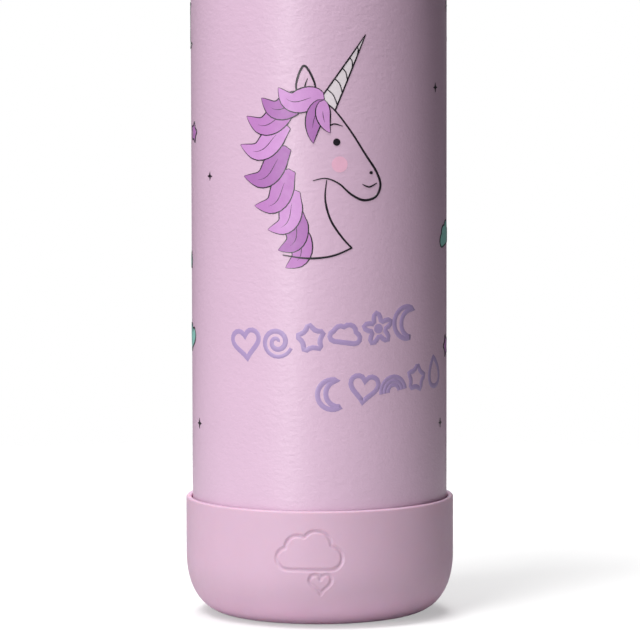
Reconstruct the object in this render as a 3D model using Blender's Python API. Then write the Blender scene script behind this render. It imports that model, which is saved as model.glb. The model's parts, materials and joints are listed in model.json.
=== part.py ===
"""An insulated drinking bottle for a child, with a silicone boot, a screw lid, a flip-up straw
spout and a swing handle.

The axis of the bottle is +Z, and the boot stands on Z = 0. The front, where the print is, faces -Y.
The spout lies back along +Y over the lid and flips up about an axis along X. The handle lies round
the back of the lid and swings up about another axis along X. Lengths are in millimetres here, and
MM turns them into metres where the meshes are made.
"""

import math

import bmesh
import bpy
from mathutils import Matrix, Vector

MM = 0.001
GAP = 0.3
ROUND = 40
SMALL_ROUND = 24
TINY_ROUND = 12
CORNER_STEPS = 6
EDGE_STEPS = 4
CHAMFER = 0.5
SMALL_CHAMFER = 0.4
OVERSHOOT = 1.0

# Steel flask: a double wall with a vacuum between.
BODY_R = 34.0
SHELL_WALL = 0.6
VACUUM = 2.4
LINER_WALL = 0.5
LINER_R = BODY_R - SHELL_WALL - VACUUM
BASE_CORNER = 10.0
SHOULDER_Z = 173.0
SHOULDER_RISE = 13.5
SHOULDER_TOP_R = 26.2
SHOULDER_STEPS = 7
NECK_R = 25.6
RIM_Z = 198.0
RIM_THICK = 1.5
MOUTH_R = 23.2
NECK_WALL = 0.6
LINER_NECK_EASE = 0.8
LINER_SHOULDER_Z = 171.0
LINER_SHOULDER_RISE = 11.5
LINER_CORNER = 6.0
LINER_FLOOR_Z = 9.5
LINER_SEAM_Z = 17.0

# Silicone boot.
BOOT_R = 35.75
BOOT_Z = 31.4
BOOT_FLOOR = 2.5
BOOT_CORNER_A = 13.0
BOOT_CORNER_B = 17.0
BOOT_CORNER_POWER = 2.4
BOOT_GROOVE_IN_R = 12.0
BOOT_GROOVE_OUT_R = 15.0
BOOT_GROOVE = 0.8
BOOT_GROOVE_SLOPE = 0.5
BOOT_CORNER_STEPS = 7

# Outer base of the flask, with its sealing dimple, its cover, and the getter held over it.
BASE_Z = BOOT_FLOOR + GAP
BASE_SEAM_Z = BASE_Z + BASE_CORNER
COVER_RECESS_R = 18.3
COVER_RECESS = 1.2
DIMPLE_R = 3.2
RECESS_SHIFT = 0.3
DIMPLE = 1.2
DIMPLE_SLOPE = 0.8
DIMPLE_SHIFT = 0.4
PORT_R = 0.9
BEAD_R = 2.3
BEAD_THICK = 1.2
BEAD_TIP_R = 1.5
BEAD_TIP = 0.2
BEAD_SIDE = 0.4
COVER_MARGIN = 0.7
COVER_THICK = 0.5
GETTER_Y = 12.0
CLIP_R = 5.0
CLIP_THICK = 0.5
CLIP_RIM = 1.6
CLIP_RIM_THICK = 0.4
TABLET_R = 4.2
TABLET_THICK = 1.8

# Screw thread between the liner's neck and the lid: one start, right-handed.
PITCH = 4.0
THREAD_ROOT_HALF = 1.15
THREAD_TIP_HALF = 0.55
NECK_THREAD_Z = 189.5
NECK_THREAD_TURNS = 1.0
NECK_THREAD_TIP_R = 22.0
LID_THREAD_TURNS = 1.25
LID_THREAD_TIP_R = MOUTH_R - GAP
THREAD_BITE = 0.25
THREAD_LEAST = 0.12

# Lid.
PLUG_R = NECK_THREAD_TIP_R - GAP
PLUG_WALL = 2.0
PLUG_BOTTOM_Z = 184.0
CORE_FLOOR_Z = 197.3
CORE_FLOOR = 2.2
GASKET_Z = RIM_Z + GAP
GASKET_THICK = 2.0
GASKET_MARGIN = 0.4
FLANGE_Z = GASKET_Z + GASKET_THICK + GAP
FLANGE = 2.2
FLANGE_R = 25.8
SNAP_BEAD_R = 25.3
SNAP_BEAD_LAND = 0.4
SNAP_BEAD_RAMP = 0.4
SNAP_BEAD_LEAD_IN = 0.8
LID_R = 28.0
LID_INNER_R = FLANGE_R + GAP
LID_BOTTOM_Z = 187.4
LID_DISC_Z = FLANGE_Z + FLANGE + GAP
DECK_Z = 213.0
DECK_EDGE = 2.5
SKIRT_CHAMFER = 0.6

# Spout, stowed in its channel. The barrel turns on two headed pins.
SPOUT_Y = -13.0
SPOUT_Z = 209.3
BARREL_R = 6.2
BARREL_HALF = 8.0
CHANNEL_HALF = 8.5
BARREL_CLEARANCE = 1.4
CHANNEL_FRONT_Y = SPOUT_Y - BARREL_R - BARREL_CLEARANCE
CHANNEL_BACK_Y = 17.0
CHANNEL_FLOOR = 1.3
THUMB_SCOOP_R = 14.0
THUMB_SCOOP_Y = 21.5
THUMB_SCOOP_Z = DECK_Z + 8.0
THUMB_SCOOP_HALF = CHANNEL_HALF - 0.5
THUMB_SCOOP_ROUND = 48
ARM_HALF = 6.0
ARM_HALF_THICK = 3.8
ARM_END_Y = 2.5
ARM_EDGE = 1.2
NIPPLE_R = 3.5
NIPPLE_END_Y = 10.5
NIPPLE_ROOT = 3.0
PASSAGE_R = 2.3
SIP_HOLE_R = 1.6
MOUTHPIECE_TIP_Y = SPOUT_Y + 28.3
MOUTHPIECE_HALF = 6.5
MOUTHPIECE_HALF_THICK = 4.5
MOUTHPIECE_EDGE = 1.0
SEAL_R = 5.6
SEAL_TOP_Z = SPOUT_Z - 4.6
SEAL_BORE_R = PASSAGE_R + 0.2
SPOUT_PIN_R = 1.6
SPOUT_PIN_HEAD_R = 2.0
SPOUT_PIN_HEAD = 1.2
SPOUT_PIN_IN_X = 5.2
PIN_END_GAP = 0.4
PIN_ROUND = 16
POCKET_IN_X = 10.7
POCKET_OUT_X = 17.5
POCKET_Y = (-17.5, 12.0)
POCKET_TOP_Z = DECK_Z - 1.4

# Straw and its adapter, below the spout.
STRAW_R = 3.6
STRAW_BORE_R = 2.8
STRAW_BOTTOM_Z = 13.5
STRAW_TOP_Z = 187.7
SPIGOT_R = 3.4
SPIGOT_BOTTOM_Z = 188.5
ADAPTER_R = 5.6
ADAPTER_BOTTOM_Z = 178.5

# Air vent, behind the spout.
VENT_Y = 11.0
VENT_STEM_R = 1.4
VENT_STEM_GAP = 0.4
VENT_CAP_R = 4.0
VENT_HOLES = 3
VENT_HOLE_R = 0.6
VENT_HOLE_ROUND = 8
VENT_RING_R = 3.0
VENT_CAP = ((0, -1.6), (2.0, -1.5), (VENT_CAP_R, -0.6), (VENT_CAP_R, 0))
VENT_BULB = ((2.3, 0), (1.6, 1.3), (0, 1.8))

# Handle, folded back round the lid, with a moulded guard round each of its eyes.
HANDLE_Z = 206.0
HANDLE_IN_R = 31.6
HANDLE_OUT_R = 34.9
HANDLE_HALF_WIDTH = 4.0
EYE_R = 5.2
EYE_IN_X = LID_R + 0.4
EYE_OUT_X = HANDLE_OUT_R - 0.1
HANDLE_PIN_R = 2.0
HANDLE_PIN_HEAD_R = 3.4
HANDLE_PIN_IN_X = 20.0
PIN_HEAD_SEAT_X = 33.2
PIN_HEAD_SINK = 0.1
GUARD_ROUND = 32
GUARD_R = 8.2
GUARD_IN_X = 26.4
GUARD_OUT_X = 32.6
GUARD_TOP_Z = 210.4
GUARD_GAP = 0.4

COLOURS = {
    "powder_coat": ((0.68, 0.50, 0.63), 0.45, 0.0),
    "boot_silicone": ((0.67, 0.44, 0.56), 0.6, 0.0),
    "bare_steel": ((0.72, 0.72, 0.73), 0.3, 1.0),
    "lid_plastic": ((0.66, 0.45, 0.58), 0.4, 0.0),
    "clear_silicone": ((0.85, 0.84, 0.86), 0.5, 0.0),
    "straw_plastic": ((0.86, 0.84, 0.88), 0.2, 0.0),
    "getter_metal": ((0.35, 0.34, 0.33), 0.6, 1.0),
    "seal_glass": ((0.25, 0.27, 0.30), 0.2, 0.0),
}


def clear_scene():
    for obj in list(bpy.data.objects):
        bpy.data.objects.remove(obj)


def material(name):
    made = bpy.data.materials.get(name)
    if made:
        return made
    colour, roughness, metallic = COLOURS[name]
    made = bpy.data.materials.new(name)
    made.use_nodes = True
    shader = made.node_tree.nodes["Principled BSDF"]
    shader.inputs["Base Color"].default_value = (*colour, 1.0)
    shader.inputs["Roughness"].default_value = roughness
    shader.inputs["Metallic"].default_value = metallic
    return made


def add_object(name, bm, surface, location=(0.0, 0.0, 0.0)):
    """Makes an object from a bmesh in millimetres, placed at a location in millimetres."""
    bmesh.ops.recalc_face_normals(bm, faces=bm.faces)
    bmesh.ops.scale(bm, vec=(MM, MM, MM), verts=bm.verts)
    mesh = bpy.data.meshes.new(name)
    bm.to_mesh(mesh)
    bm.free()
    mesh.shade_smooth()
    mesh.set_sharp_from_angle(angle=math.radians(35))
    obj = bpy.data.objects.new(name, mesh)
    bpy.context.scene.collection.objects.link(obj)
    obj.location = Vector(location) * MM
    if surface:
        mesh.materials.append(material(surface))
    return obj


def arc(centre, radii, start_deg, end_deg, steps):
    """Points along an ellipse's arc in the (radius, height) plane, both ends included."""
    points = []
    for i in range(steps + 1):
        a = math.radians(start_deg + (end_deg - start_deg) * i / steps)
        points.append((centre[0] + radii[0] * math.cos(a), centre[1] + radii[1] * math.sin(a)))
    return points


def turned(name, profile, surface, location=(0.0, 0.0, 0.0), closed=False, rounds=ROUND):
    """Turns a profile of (radius, height) points about Z. An open profile ends on the axis."""
    bm = bmesh.new()
    verts = [bm.verts.new((r, 0.0, z)) for r, z in profile]
    ends = verts[1:] + verts[:1] if closed else verts[1:]
    edges = [bm.edges.new(pair) for pair in zip(verts, ends)]
    bmesh.ops.spin(
        bm, geom=verts + edges, cent=(0, 0, 0), axis=(0, 0, 1),
        angle=2 * math.pi, steps=rounds, use_merge=True,
    )
    bmesh.ops.remove_doubles(bm, verts=bm.verts, dist=1e-4)
    return add_object(name, bm, surface, location)


def box(name, low, high, surface=None):
    bm = bmesh.new()
    bmesh.ops.create_cube(bm, size=1.0)
    size = Vector(high) - Vector(low)
    bmesh.ops.scale(bm, vec=size, verts=bm.verts)
    bmesh.ops.translate(bm, vec=(Vector(high) + Vector(low)) / 2, verts=bm.verts)
    return add_object(name, bm, surface)


def rod(name, axis, radius, start, end, surface=None, rounds=SMALL_ROUND, oval=1.0):
    """A round bar from start to end along X, Y or Z. An oval widens it along X by that factor."""
    bm = bmesh.new()
    length = (Vector(end) - Vector(start)).length
    bmesh.ops.create_cone(
        bm, cap_ends=True, segments=rounds, radius1=radius, radius2=radius, depth=length
    )
    turn = {"X": Matrix.Rotation(math.pi / 2, 3, "Y"), "Y": Matrix.Rotation(math.pi / 2, 3, "X"),
            "Z": Matrix.Identity(3)}[axis]
    bmesh.ops.rotate(bm, cent=(0, 0, 0), matrix=turn, verts=bm.verts)
    bmesh.ops.scale(bm, vec=(oval, 1, 1), verts=bm.verts)
    bmesh.ops.translate(bm, vec=(Vector(start) + Vector(end)) / 2, verts=bm.verts)
    return add_object(name, bm, surface)


def boolean(target, tool, operation):
    """Cuts or joins a helper, which is then left out of the model."""
    tool.hide_render = True
    tool.display_type = "WIRE"
    modifier = target.modifiers.new(operation.lower() + "_" + tool.name, "BOOLEAN")
    modifier.operation = operation
    modifier.solver = "EXACT"
    modifier.object = tool


def cut(target, *tools):
    for tool in tools:
        boolean(target, tool, "DIFFERENCE")


def join(target, *tools):
    for tool in tools:
        boolean(target, tool, "UNION")


def bevel(target, width, segments=2, angle_deg=40):
    modifier = target.modifiers.new("edges", "BEVEL")
    modifier.width = width * MM
    modifier.segments = segments
    modifier.limit_method = "ANGLE"
    modifier.angle_limit = math.radians(angle_deg)


def swept(name, sections, surface=None):
    """Joins a row of closed sections, each a list of points, into one bar with capped ends."""
    bm = bmesh.new()
    rings = [[bm.verts.new(point) for point in section] for section in sections]
    for a, b in zip(rings, rings[1:]):
        for k in range(len(a)):
            n = (k + 1) % len(a)
            bm.faces.new((a[k], a[n], b[n], b[k]))
    bm.faces.new(rings[0])
    bm.faces.new(rings[-1])
    return add_object(name, bm, surface)


def around(profile, angle, rise=0.0):
    """Places (radius, height) points at an angle about Z."""
    return [(r * math.cos(angle), r * math.sin(angle), z + rise) for r, z in profile]


def helical_ridge(name, wall_r, tip_r, start_z, turns):
    """A thread ridge on a round wall. Its root lies inside the wall, and both ends fade into it."""
    root_r = wall_r - math.copysign(THREAD_BITE, tip_r - wall_r)
    steps = round(turns * ROUND)
    fade = ROUND // 8
    sections = []
    for i in range(steps + 1):
        height = min(1.0, max(min(i, steps - i) / fade, THREAD_LEAST))
        tip = root_r + (tip_r - root_r) * height
        profile = ((root_r, -THREAD_ROOT_HALF), (tip, -THREAD_TIP_HALF),
                   (tip, THREAD_TIP_HALF), (root_r, THREAD_ROOT_HALF))
        sections.append(around(profile, 2 * math.pi * i / ROUND, start_z + PITCH * i / ROUND))
    return swept(name, sections)


def boot_profile():
    """The boot's outline from the underside, up its outer face, over the rim and down inside."""
    outside = [(0, 0), (BOOT_GROOVE_IN_R, 0), (BOOT_GROOVE_IN_R + BOOT_GROOVE_SLOPE, BOOT_GROOVE),
               (BOOT_GROOVE_OUT_R - BOOT_GROOVE_SLOPE, BOOT_GROOVE), (BOOT_GROOVE_OUT_R, 0)]
    for i in range(BOOT_CORNER_STEPS + 1):
        a = math.pi / 2 * i / BOOT_CORNER_STEPS
        z = BOOT_CORNER_B * (1 - math.cos(a))
        drop = (1 - z / BOOT_CORNER_B) ** BOOT_CORNER_POWER
        inset = BOOT_CORNER_A * (1 - (1 - drop) ** (1 / BOOT_CORNER_POWER))
        outside.append((BOOT_R - inset, z))
    inner_r = BODY_R + GAP
    lip = (BOOT_R - inner_r) / 2
    rim = arc(((BOOT_R + inner_r) / 2, BOOT_Z - lip), (lip, lip), 0, 180, EDGE_STEPS)
    corner = BASE_CORNER + GAP
    inside = arc((BODY_R - BASE_CORNER, BASE_SEAM_Z), (corner, corner), 0, -90, CORNER_STEPS)
    return outside + rim + inside + [(0, BOOT_FLOOR)]


def make_boot():
    turned("silicone_boot", boot_profile(), "boot_silicone")


def make_outer_shell():
    rise = (BODY_R - SHOULDER_TOP_R, SHOULDER_RISE)
    outside = arc((SHOULDER_TOP_R, SHOULDER_Z), rise, 0, 90, SHOULDER_STEPS)
    inner_rise = (rise[0] - SHELL_WALL, rise[1] - SHELL_WALL)
    inside = arc((SHOULDER_TOP_R, SHOULDER_Z), inner_rise, 90, 0, SHOULDER_STEPS)
    top_z = RIM_Z - RIM_THICK - GAP
    shoulder_top = SHOULDER_Z + SHOULDER_RISE
    neck_in_r = NECK_R - SHELL_WALL
    bottom_z = BASE_SEAM_Z + GAP
    profile = [(BODY_R, bottom_z)] + outside
    profile += [(NECK_R, shoulder_top + SHELL_WALL), (NECK_R, top_z), (neck_in_r, top_z)]
    profile += [(neck_in_r, shoulder_top)] + inside + [(BODY_R - SHELL_WALL, bottom_z)]
    turned("outer_shell", profile, "powder_coat", closed=True)


def make_outer_base():
    """The bottom cup of the outer wall, with a recess for the cover and a dimple for the seal."""
    corner_x = BODY_R - BASE_CORNER
    outside = arc((corner_x, BASE_SEAM_Z), (BASE_CORNER,) * 2, 0, -90, CORNER_STEPS)
    inner = BASE_CORNER - SHELL_WALL
    inside = arc((corner_x, BASE_SEAM_Z), (inner,) * 2, -90, 0, CORNER_STEPS)
    recess_z = BASE_Z + COVER_RECESS
    dimple_z = recess_z + DIMPLE
    wall = SHELL_WALL
    recess_out_r = COVER_RECESS_R + COVER_RECESS
    dimple_out_r = DIMPLE_R + DIMPLE_SLOPE
    profile = outside + [
        (recess_out_r, BASE_Z), (COVER_RECESS_R, recess_z),
        (dimple_out_r, recess_z), (DIMPLE_R, dimple_z), (PORT_R, dimple_z),
        (PORT_R, dimple_z + wall), (DIMPLE_R + DIMPLE_SHIFT, dimple_z + wall),
        (dimple_out_r + DIMPLE_SHIFT, recess_z + wall),
        (COVER_RECESS_R - RECESS_SHIFT, recess_z + wall),
        (recess_out_r - RECESS_SHIFT, BASE_Z + wall),
    ] + inside
    turned("outer_base", profile, "bare_steel", closed=True)


def make_base_fittings():
    """What closes and keeps the vacuum: the seal bead, the cover disc, the getter and its clip."""
    recess_z = BASE_Z + COVER_RECESS
    bead_top = recess_z + DIMPLE - GAP
    bead_low = bead_top - BEAD_THICK
    bead = [(0, bead_low), (BEAD_TIP_R, bead_low + BEAD_TIP), (BEAD_R, bead_top - BEAD_SIDE),
            (BEAD_R, bead_top), (0, bead_top)]
    turned("vacuum_seal_bead", bead, "seal_glass", rounds=TINY_ROUND)
    cover_r = COVER_RECESS_R - COVER_MARGIN
    cover_top = BASE_Z + COVER_THICK
    cover = [(0, BASE_Z), (cover_r, BASE_Z), (cover_r, cover_top), (0, cover_top)]
    turned("base_cover_disc", cover, "bare_steel")
    clip_z = recess_z + SHELL_WALL + GAP
    clip_in_r = CLIP_R - CLIP_RIM_THICK
    clip = [(0, clip_z), (CLIP_R, clip_z), (CLIP_R, clip_z + CLIP_RIM),
            (clip_in_r, clip_z + CLIP_RIM), (clip_in_r, clip_z + CLIP_THICK),
            (0, clip_z + CLIP_THICK)]
    turned("getter_clip", clip, "bare_steel", (0, GETTER_Y, 0), rounds=TINY_ROUND)
    tablet_z = clip_z + CLIP_THICK + GAP
    tablet_top = tablet_z + TABLET_THICK
    tablet = [(0, tablet_z), (TABLET_R, tablet_z), (TABLET_R, tablet_top), (0, tablet_top)]
    turned("getter_tablet", tablet, "getter_metal", (0, GETTER_Y, 0), rounds=TINY_ROUND)


def make_liner_base():
    inner_r = LINER_R - LINER_WALL
    centre = (inner_r - LINER_CORNER, LINER_FLOOR_Z + LINER_CORNER)
    outer = LINER_CORNER + LINER_WALL
    profile = [(0, LINER_FLOOR_Z - LINER_WALL)] + arc(centre, (outer,) * 2, -90, 0, CORNER_STEPS)
    profile += [(LINER_R, LINER_SEAM_Z), (inner_r, LINER_SEAM_Z)]
    profile += arc(centre, (LINER_CORNER,) * 2, 0, -90, CORNER_STEPS) + [(0, LINER_FLOOR_Z)]
    turned("liner_base", profile, "bare_steel")


def make_inner_liner():
    """The inner wall from its seam to the rolled rim, with the neck's thread on its inside."""
    neck_out_r = MOUTH_R + NECK_WALL
    top_r = neck_out_r + LINER_NECK_EASE
    rise = (LINER_R - top_r, LINER_SHOULDER_RISE)
    outside = arc((top_r, LINER_SHOULDER_Z), rise, 0, 90, CORNER_STEPS)
    inner_rise = (rise[0] - LINER_WALL, rise[1] - LINER_WALL)
    inside = arc((top_r, LINER_SHOULDER_Z), inner_rise, 90, 0, CORNER_STEPS)
    neck_z = LINER_SHOULDER_Z + LINER_SHOULDER_RISE
    rim_low = RIM_Z - RIM_THICK
    bottom_z = LINER_SEAM_Z + GAP
    profile = [(LINER_R, bottom_z)] + outside + [
        (neck_out_r, neck_z + LINER_NECK_EASE), (neck_out_r, rim_low),
        (NECK_R - SMALL_CHAMFER, rim_low), (NECK_R, rim_low + SMALL_CHAMFER),
        (NECK_R, RIM_Z - SMALL_CHAMFER), (NECK_R - SMALL_CHAMFER, RIM_Z),
        (MOUTH_R + CHAMFER, RIM_Z), (MOUTH_R, RIM_Z - CHAMFER), (MOUTH_R, neck_z + CHAMFER),
    ] + inside + [(LINER_R - LINER_WALL, bottom_z)]
    liner = turned("inner_liner", profile, "bare_steel", closed=True)
    ridge = helical_ridge(
        "neck_thread_tool", MOUTH_R, NECK_THREAD_TIP_R, NECK_THREAD_Z, NECK_THREAD_TURNS
    )
    join(liner, ridge)


def make_gasket():
    inner_r = PLUG_R + GAP
    outer_r = SNAP_BEAD_R - GASKET_MARGIN
    top = GASKET_Z + GASKET_THICK
    edge = SMALL_CHAMFER
    profile = [(inner_r, GASKET_Z + edge), (inner_r + edge, GASKET_Z), (outer_r - edge, GASKET_Z),
               (outer_r, GASKET_Z + edge), (outer_r, top - edge), (outer_r - edge, top),
               (inner_r + edge, top), (inner_r, top - edge)]
    turned("neck_gasket", profile, "clear_silicone", closed=True)


def make_lid_core():
    """The threaded plug: a cup that hangs in the neck, with a flange, a straw spigot and vents."""
    inner_r = PLUG_R - PLUG_WALL
    floor_top = CORE_FLOOR_Z + CORE_FLOOR
    flange_top = FLANGE_Z + FLANGE
    profile = [
        (0, CORE_FLOOR_Z), (inner_r, CORE_FLOOR_Z), (inner_r, PLUG_BOTTOM_Z + CHAMFER),
        (inner_r + CHAMFER, PLUG_BOTTOM_Z), (PLUG_R - CHAMFER, PLUG_BOTTOM_Z),
        (PLUG_R, PLUG_BOTTOM_Z + CHAMFER), (PLUG_R, FLANGE_Z), (FLANGE_R, FLANGE_Z),
        (FLANGE_R, flange_top), (inner_r, flange_top), (inner_r, floor_top), (0, floor_top),
    ]
    core = turned("lid_core", profile, "lid_plastic")
    join(core, helical_ridge(
        "lid_thread_tool", PLUG_R, LID_THREAD_TIP_R, NECK_THREAD_Z - PITCH / 2, LID_THREAD_TURNS
    ))
    join(core, rod("spigot_tool", "Z", SPIGOT_R, (0, SPOUT_Y, SPIGOT_BOTTOM_Z),
                   (0, SPOUT_Y, CORE_FLOOR_Z + OVERSHOOT)))
    above = floor_top + OVERSHOOT
    below = CORE_FLOOR_Z - OVERSHOOT
    cut(core, rod("port_tool", "Z", PASSAGE_R, (0, SPOUT_Y, SPIGOT_BOTTOM_Z - OVERSHOOT),
                  (0, SPOUT_Y, above)))
    cut(core, rod("vent_stem_tool", "Z", VENT_STEM_R + VENT_STEM_GAP, (0, VENT_Y, below),
                  (0, VENT_Y, above), rounds=TINY_ROUND))
    for i in range(VENT_HOLES):
        angle = math.pi / 2 + 2 * math.pi * i / VENT_HOLES
        x = VENT_RING_R * math.cos(angle)
        y = VENT_Y + VENT_RING_R * math.sin(angle)
        cut(core, rod(f"vent_tool_{i}", "Z", VENT_HOLE_R, (x, y, below), (x, y, above),
                      rounds=VENT_HOLE_ROUND))


def make_vent_valve():
    """An umbrella valve: its skirt covers the vents from below, and its bulb holds it above."""
    under = CORE_FLOOR_Z - GAP
    top = CORE_FLOOR_Z + CORE_FLOOR + GAP
    profile = [(r, under + z) for r, z in VENT_CAP]
    profile += [(VENT_STEM_R, under), (VENT_STEM_R, top)]
    profile += [(r, top + z) for r, z in VENT_BULB]
    turned("vent_valve", profile, "clear_silicone", (0, VENT_Y, 0), rounds=SMALL_ROUND)


def make_lid_shell():
    """The cap: a skirt round the neck, a snap bead for the core, and a thick top for the spout."""
    bead_top = FLANGE_Z - 2 * GAP
    bead_low = bead_top - SNAP_BEAD_LAND
    profile = [
        (0, LID_DISC_Z), (LID_INNER_R, LID_DISC_Z), (LID_INNER_R, bead_top + SNAP_BEAD_RAMP),
        (SNAP_BEAD_R, bead_top), (SNAP_BEAD_R, bead_low),
        (LID_INNER_R, bead_low - SNAP_BEAD_LEAD_IN), (LID_INNER_R, LID_BOTTOM_Z),
        (LID_R - SKIRT_CHAMFER, LID_BOTTOM_Z), (LID_R, LID_BOTTOM_Z + SKIRT_CHAMFER),
    ]
    profile += arc((LID_R - DECK_EDGE, DECK_Z - DECK_EDGE), (DECK_EDGE,) * 2, 0, 90, EDGE_STEPS)
    shell = turned("lid_shell", profile + [(0, DECK_Z)], "lid_plastic")
    above = DECK_Z + 6 * OVERSHOOT
    well_back_y = SPOUT_Y + BARREL_R + BARREL_CLEARANCE
    cut(shell, box("channel_tool", (-CHANNEL_HALF, CHANNEL_FRONT_Y, LID_DISC_Z + CHANNEL_FLOOR),
                   (CHANNEL_HALF, CHANNEL_BACK_Y, above)))
    cut(shell, box("barrel_well_tool", (-CHANNEL_HALF, CHANNEL_FRONT_Y, LID_DISC_Z - OVERSHOOT),
                   (CHANNEL_HALF, well_back_y, above - OVERSHOOT)))
    cut(shell, rod("thumb_scoop_tool", "X", THUMB_SCOOP_R,
                   (-THUMB_SCOOP_HALF, THUMB_SCOOP_Y, THUMB_SCOOP_Z),
                   (THUMB_SCOOP_HALF, THUMB_SCOOP_Y, THUMB_SCOOP_Z), rounds=THUMB_SCOOP_ROUND))
    for side, sign in (("left", -1), ("right", 1)):
        join(shell, handle_guard(side, sign))
        pocket_x = sorted((sign * POCKET_IN_X, sign * POCKET_OUT_X))
        cut(shell, box(f"pocket_tool_{side}", (pocket_x[0], POCKET_Y[0], LID_DISC_Z - OVERSHOOT),
                       (pocket_x[1], POCKET_Y[1], POCKET_TOP_Z)))
        cut(shell, rod(f"handle_bore_tool_{side}", "X", HANDLE_PIN_R + GAP,
                       (sign * (HANDLE_PIN_IN_X - PIN_END_GAP), 0, HANDLE_Z),
                       (sign * (LID_R + OVERSHOOT), 0, HANDLE_Z), rounds=PIN_ROUND))
        cut(shell, rod(f"spout_bore_tool_{side}", "X", SPOUT_PIN_R + GAP,
                       (sign * (CHANNEL_HALF - OVERSHOOT), SPOUT_Y, SPOUT_Z),
                       (sign * (POCKET_IN_X + OVERSHOOT), SPOUT_Y, SPOUT_Z), rounds=TINY_ROUND))


def handle_guard(side, sign):
    """A C-shaped boss round the handle's eye. Two flats stop the handle folded and upright."""
    start = (sign * GUARD_IN_X, 0, HANDLE_Z)
    end = (sign * GUARD_OUT_X, 0, HANDLE_Z)
    guard = rod(f"guard_tool_{side}", "X", GUARD_R, start, end, rounds=GUARD_ROUND)
    edge = -HANDLE_HALF_WIDTH - GUARD_GAP
    sweep_x = sorted((sign * (GUARD_IN_X - OVERSHOOT), sign * (GUARD_OUT_X + OVERSHOOT)))
    sweep = box(f"guard_sweep_tool_{side}", (sweep_x[0], edge, HANDLE_Z + edge),
                (sweep_x[1], GUARD_R + OVERSHOOT, HANDLE_Z + GUARD_R + OVERSHOOT))
    eye = rod(f"guard_eye_tool_{side}", "X", EYE_R + GUARD_GAP, (sweep_x[0] - OVERSHOOT, 0, HANDLE_Z),
              (sweep_x[1] + OVERSHOOT, 0, HANDLE_Z), rounds=GUARD_ROUND)
    tip = box(f"guard_tip_tool_{side}", (sweep_x[0], -GUARD_R, GUARD_TOP_Z),
              (sweep_x[1], 0, GUARD_TOP_Z + GUARD_R))
    cut(guard, sweep, eye, tip)
    return guard


def make_spout():
    """The rigid spout: a barrel on the pivot, a flat arm and a nipple, with one straight passage."""
    arm = rod("spout_arm", "X", BARREL_R, (-BARREL_HALF, SPOUT_Y, SPOUT_Z),
              (BARREL_HALF, SPOUT_Y, SPOUT_Z), "lid_plastic")
    blade = box("blade_tool", (-ARM_HALF, SPOUT_Y, SPOUT_Z - ARM_HALF_THICK),
                (ARM_HALF, ARM_END_Y, SPOUT_Z + ARM_HALF_THICK))
    bevel(blade, ARM_EDGE)
    nipple = rod("nipple_tool", "Y", NIPPLE_R, (0, ARM_END_Y - NIPPLE_ROOT, SPOUT_Z),
                 (0, NIPPLE_END_Y, SPOUT_Z), rounds=PIN_ROUND)
    join(arm, blade, nipple)
    cut(arm, rod("passage_tool", "Y", PASSAGE_R,
                 (0, SPOUT_Y - BARREL_R - OVERSHOOT, SPOUT_Z),
                 (0, NIPPLE_END_Y + OVERSHOOT, SPOUT_Z), rounds=TINY_ROUND))
    for side, sign in (("left", -1), ("right", 1)):
        cut(arm, rod(f"pivot_tool_{side}", "X", SPOUT_PIN_R + GAP,
                     (sign * (SPOUT_PIN_IN_X - PIN_END_GAP), SPOUT_Y, SPOUT_Z),
                     (sign * (BARREL_HALF + OVERSHOOT), SPOUT_Y, SPOUT_Z), rounds=TINY_ROUND))
        headed_pin(f"spout_pin_{side}", sign, (SPOUT_Y, SPOUT_Z), SPOUT_PIN_R, SPOUT_PIN_IN_X,
                   SPOUT_PIN_HEAD_R, (POCKET_IN_X + GAP, POCKET_IN_X + GAP + SPOUT_PIN_HEAD))


def make_mouthpiece():
    """A soft sleeve over the nipple, with a narrow drinking hole at its tip."""
    start = ARM_END_Y + GAP
    sleeve = rod("mouthpiece", "Y", MOUTHPIECE_HALF_THICK, (0, start, SPOUT_Z),
                 (0, MOUTHPIECE_TIP_Y, SPOUT_Z), "clear_silicone",
                 oval=MOUTHPIECE_HALF / MOUTHPIECE_HALF_THICK)
    bevel(sleeve, MOUTHPIECE_EDGE)
    cut(sleeve, rod("sleeve_tool", "Y", NIPPLE_R + GAP, (0, start - OVERSHOOT, SPOUT_Z),
                    (0, NIPPLE_END_Y + GAP, SPOUT_Z), rounds=PIN_ROUND))
    cut(sleeve, rod("sip_hole_tool", "Y", SIP_HOLE_R, (0, NIPPLE_END_Y - OVERSHOOT, SPOUT_Z),
                    (0, MOUTHPIECE_TIP_Y + OVERSHOOT, SPOUT_Z), rounds=TINY_ROUND))


def make_spout_seal():
    """A soft ring under the barrel, hollowed on top to the barrel's curve."""
    seat = CORE_FLOOR_Z + CORE_FLOOR + GAP
    seal = rod("spout_seal", "Z", SEAL_R, (0, SPOUT_Y, seat), (0, SPOUT_Y, SEAL_TOP_Z),
               "clear_silicone")
    cut(seal, rod("saddle_tool", "X", BARREL_R + GAP,
                  (-BARREL_HALF - OVERSHOOT, SPOUT_Y, SPOUT_Z),
                  (BARREL_HALF + OVERSHOOT, SPOUT_Y, SPOUT_Z)))
    cut(seal, rod("seal_bore_tool", "Z", SEAL_BORE_R, (0, SPOUT_Y, seat - OVERSHOOT),
                  (0, SPOUT_Y, SPOUT_Z), rounds=TINY_ROUND))


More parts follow.
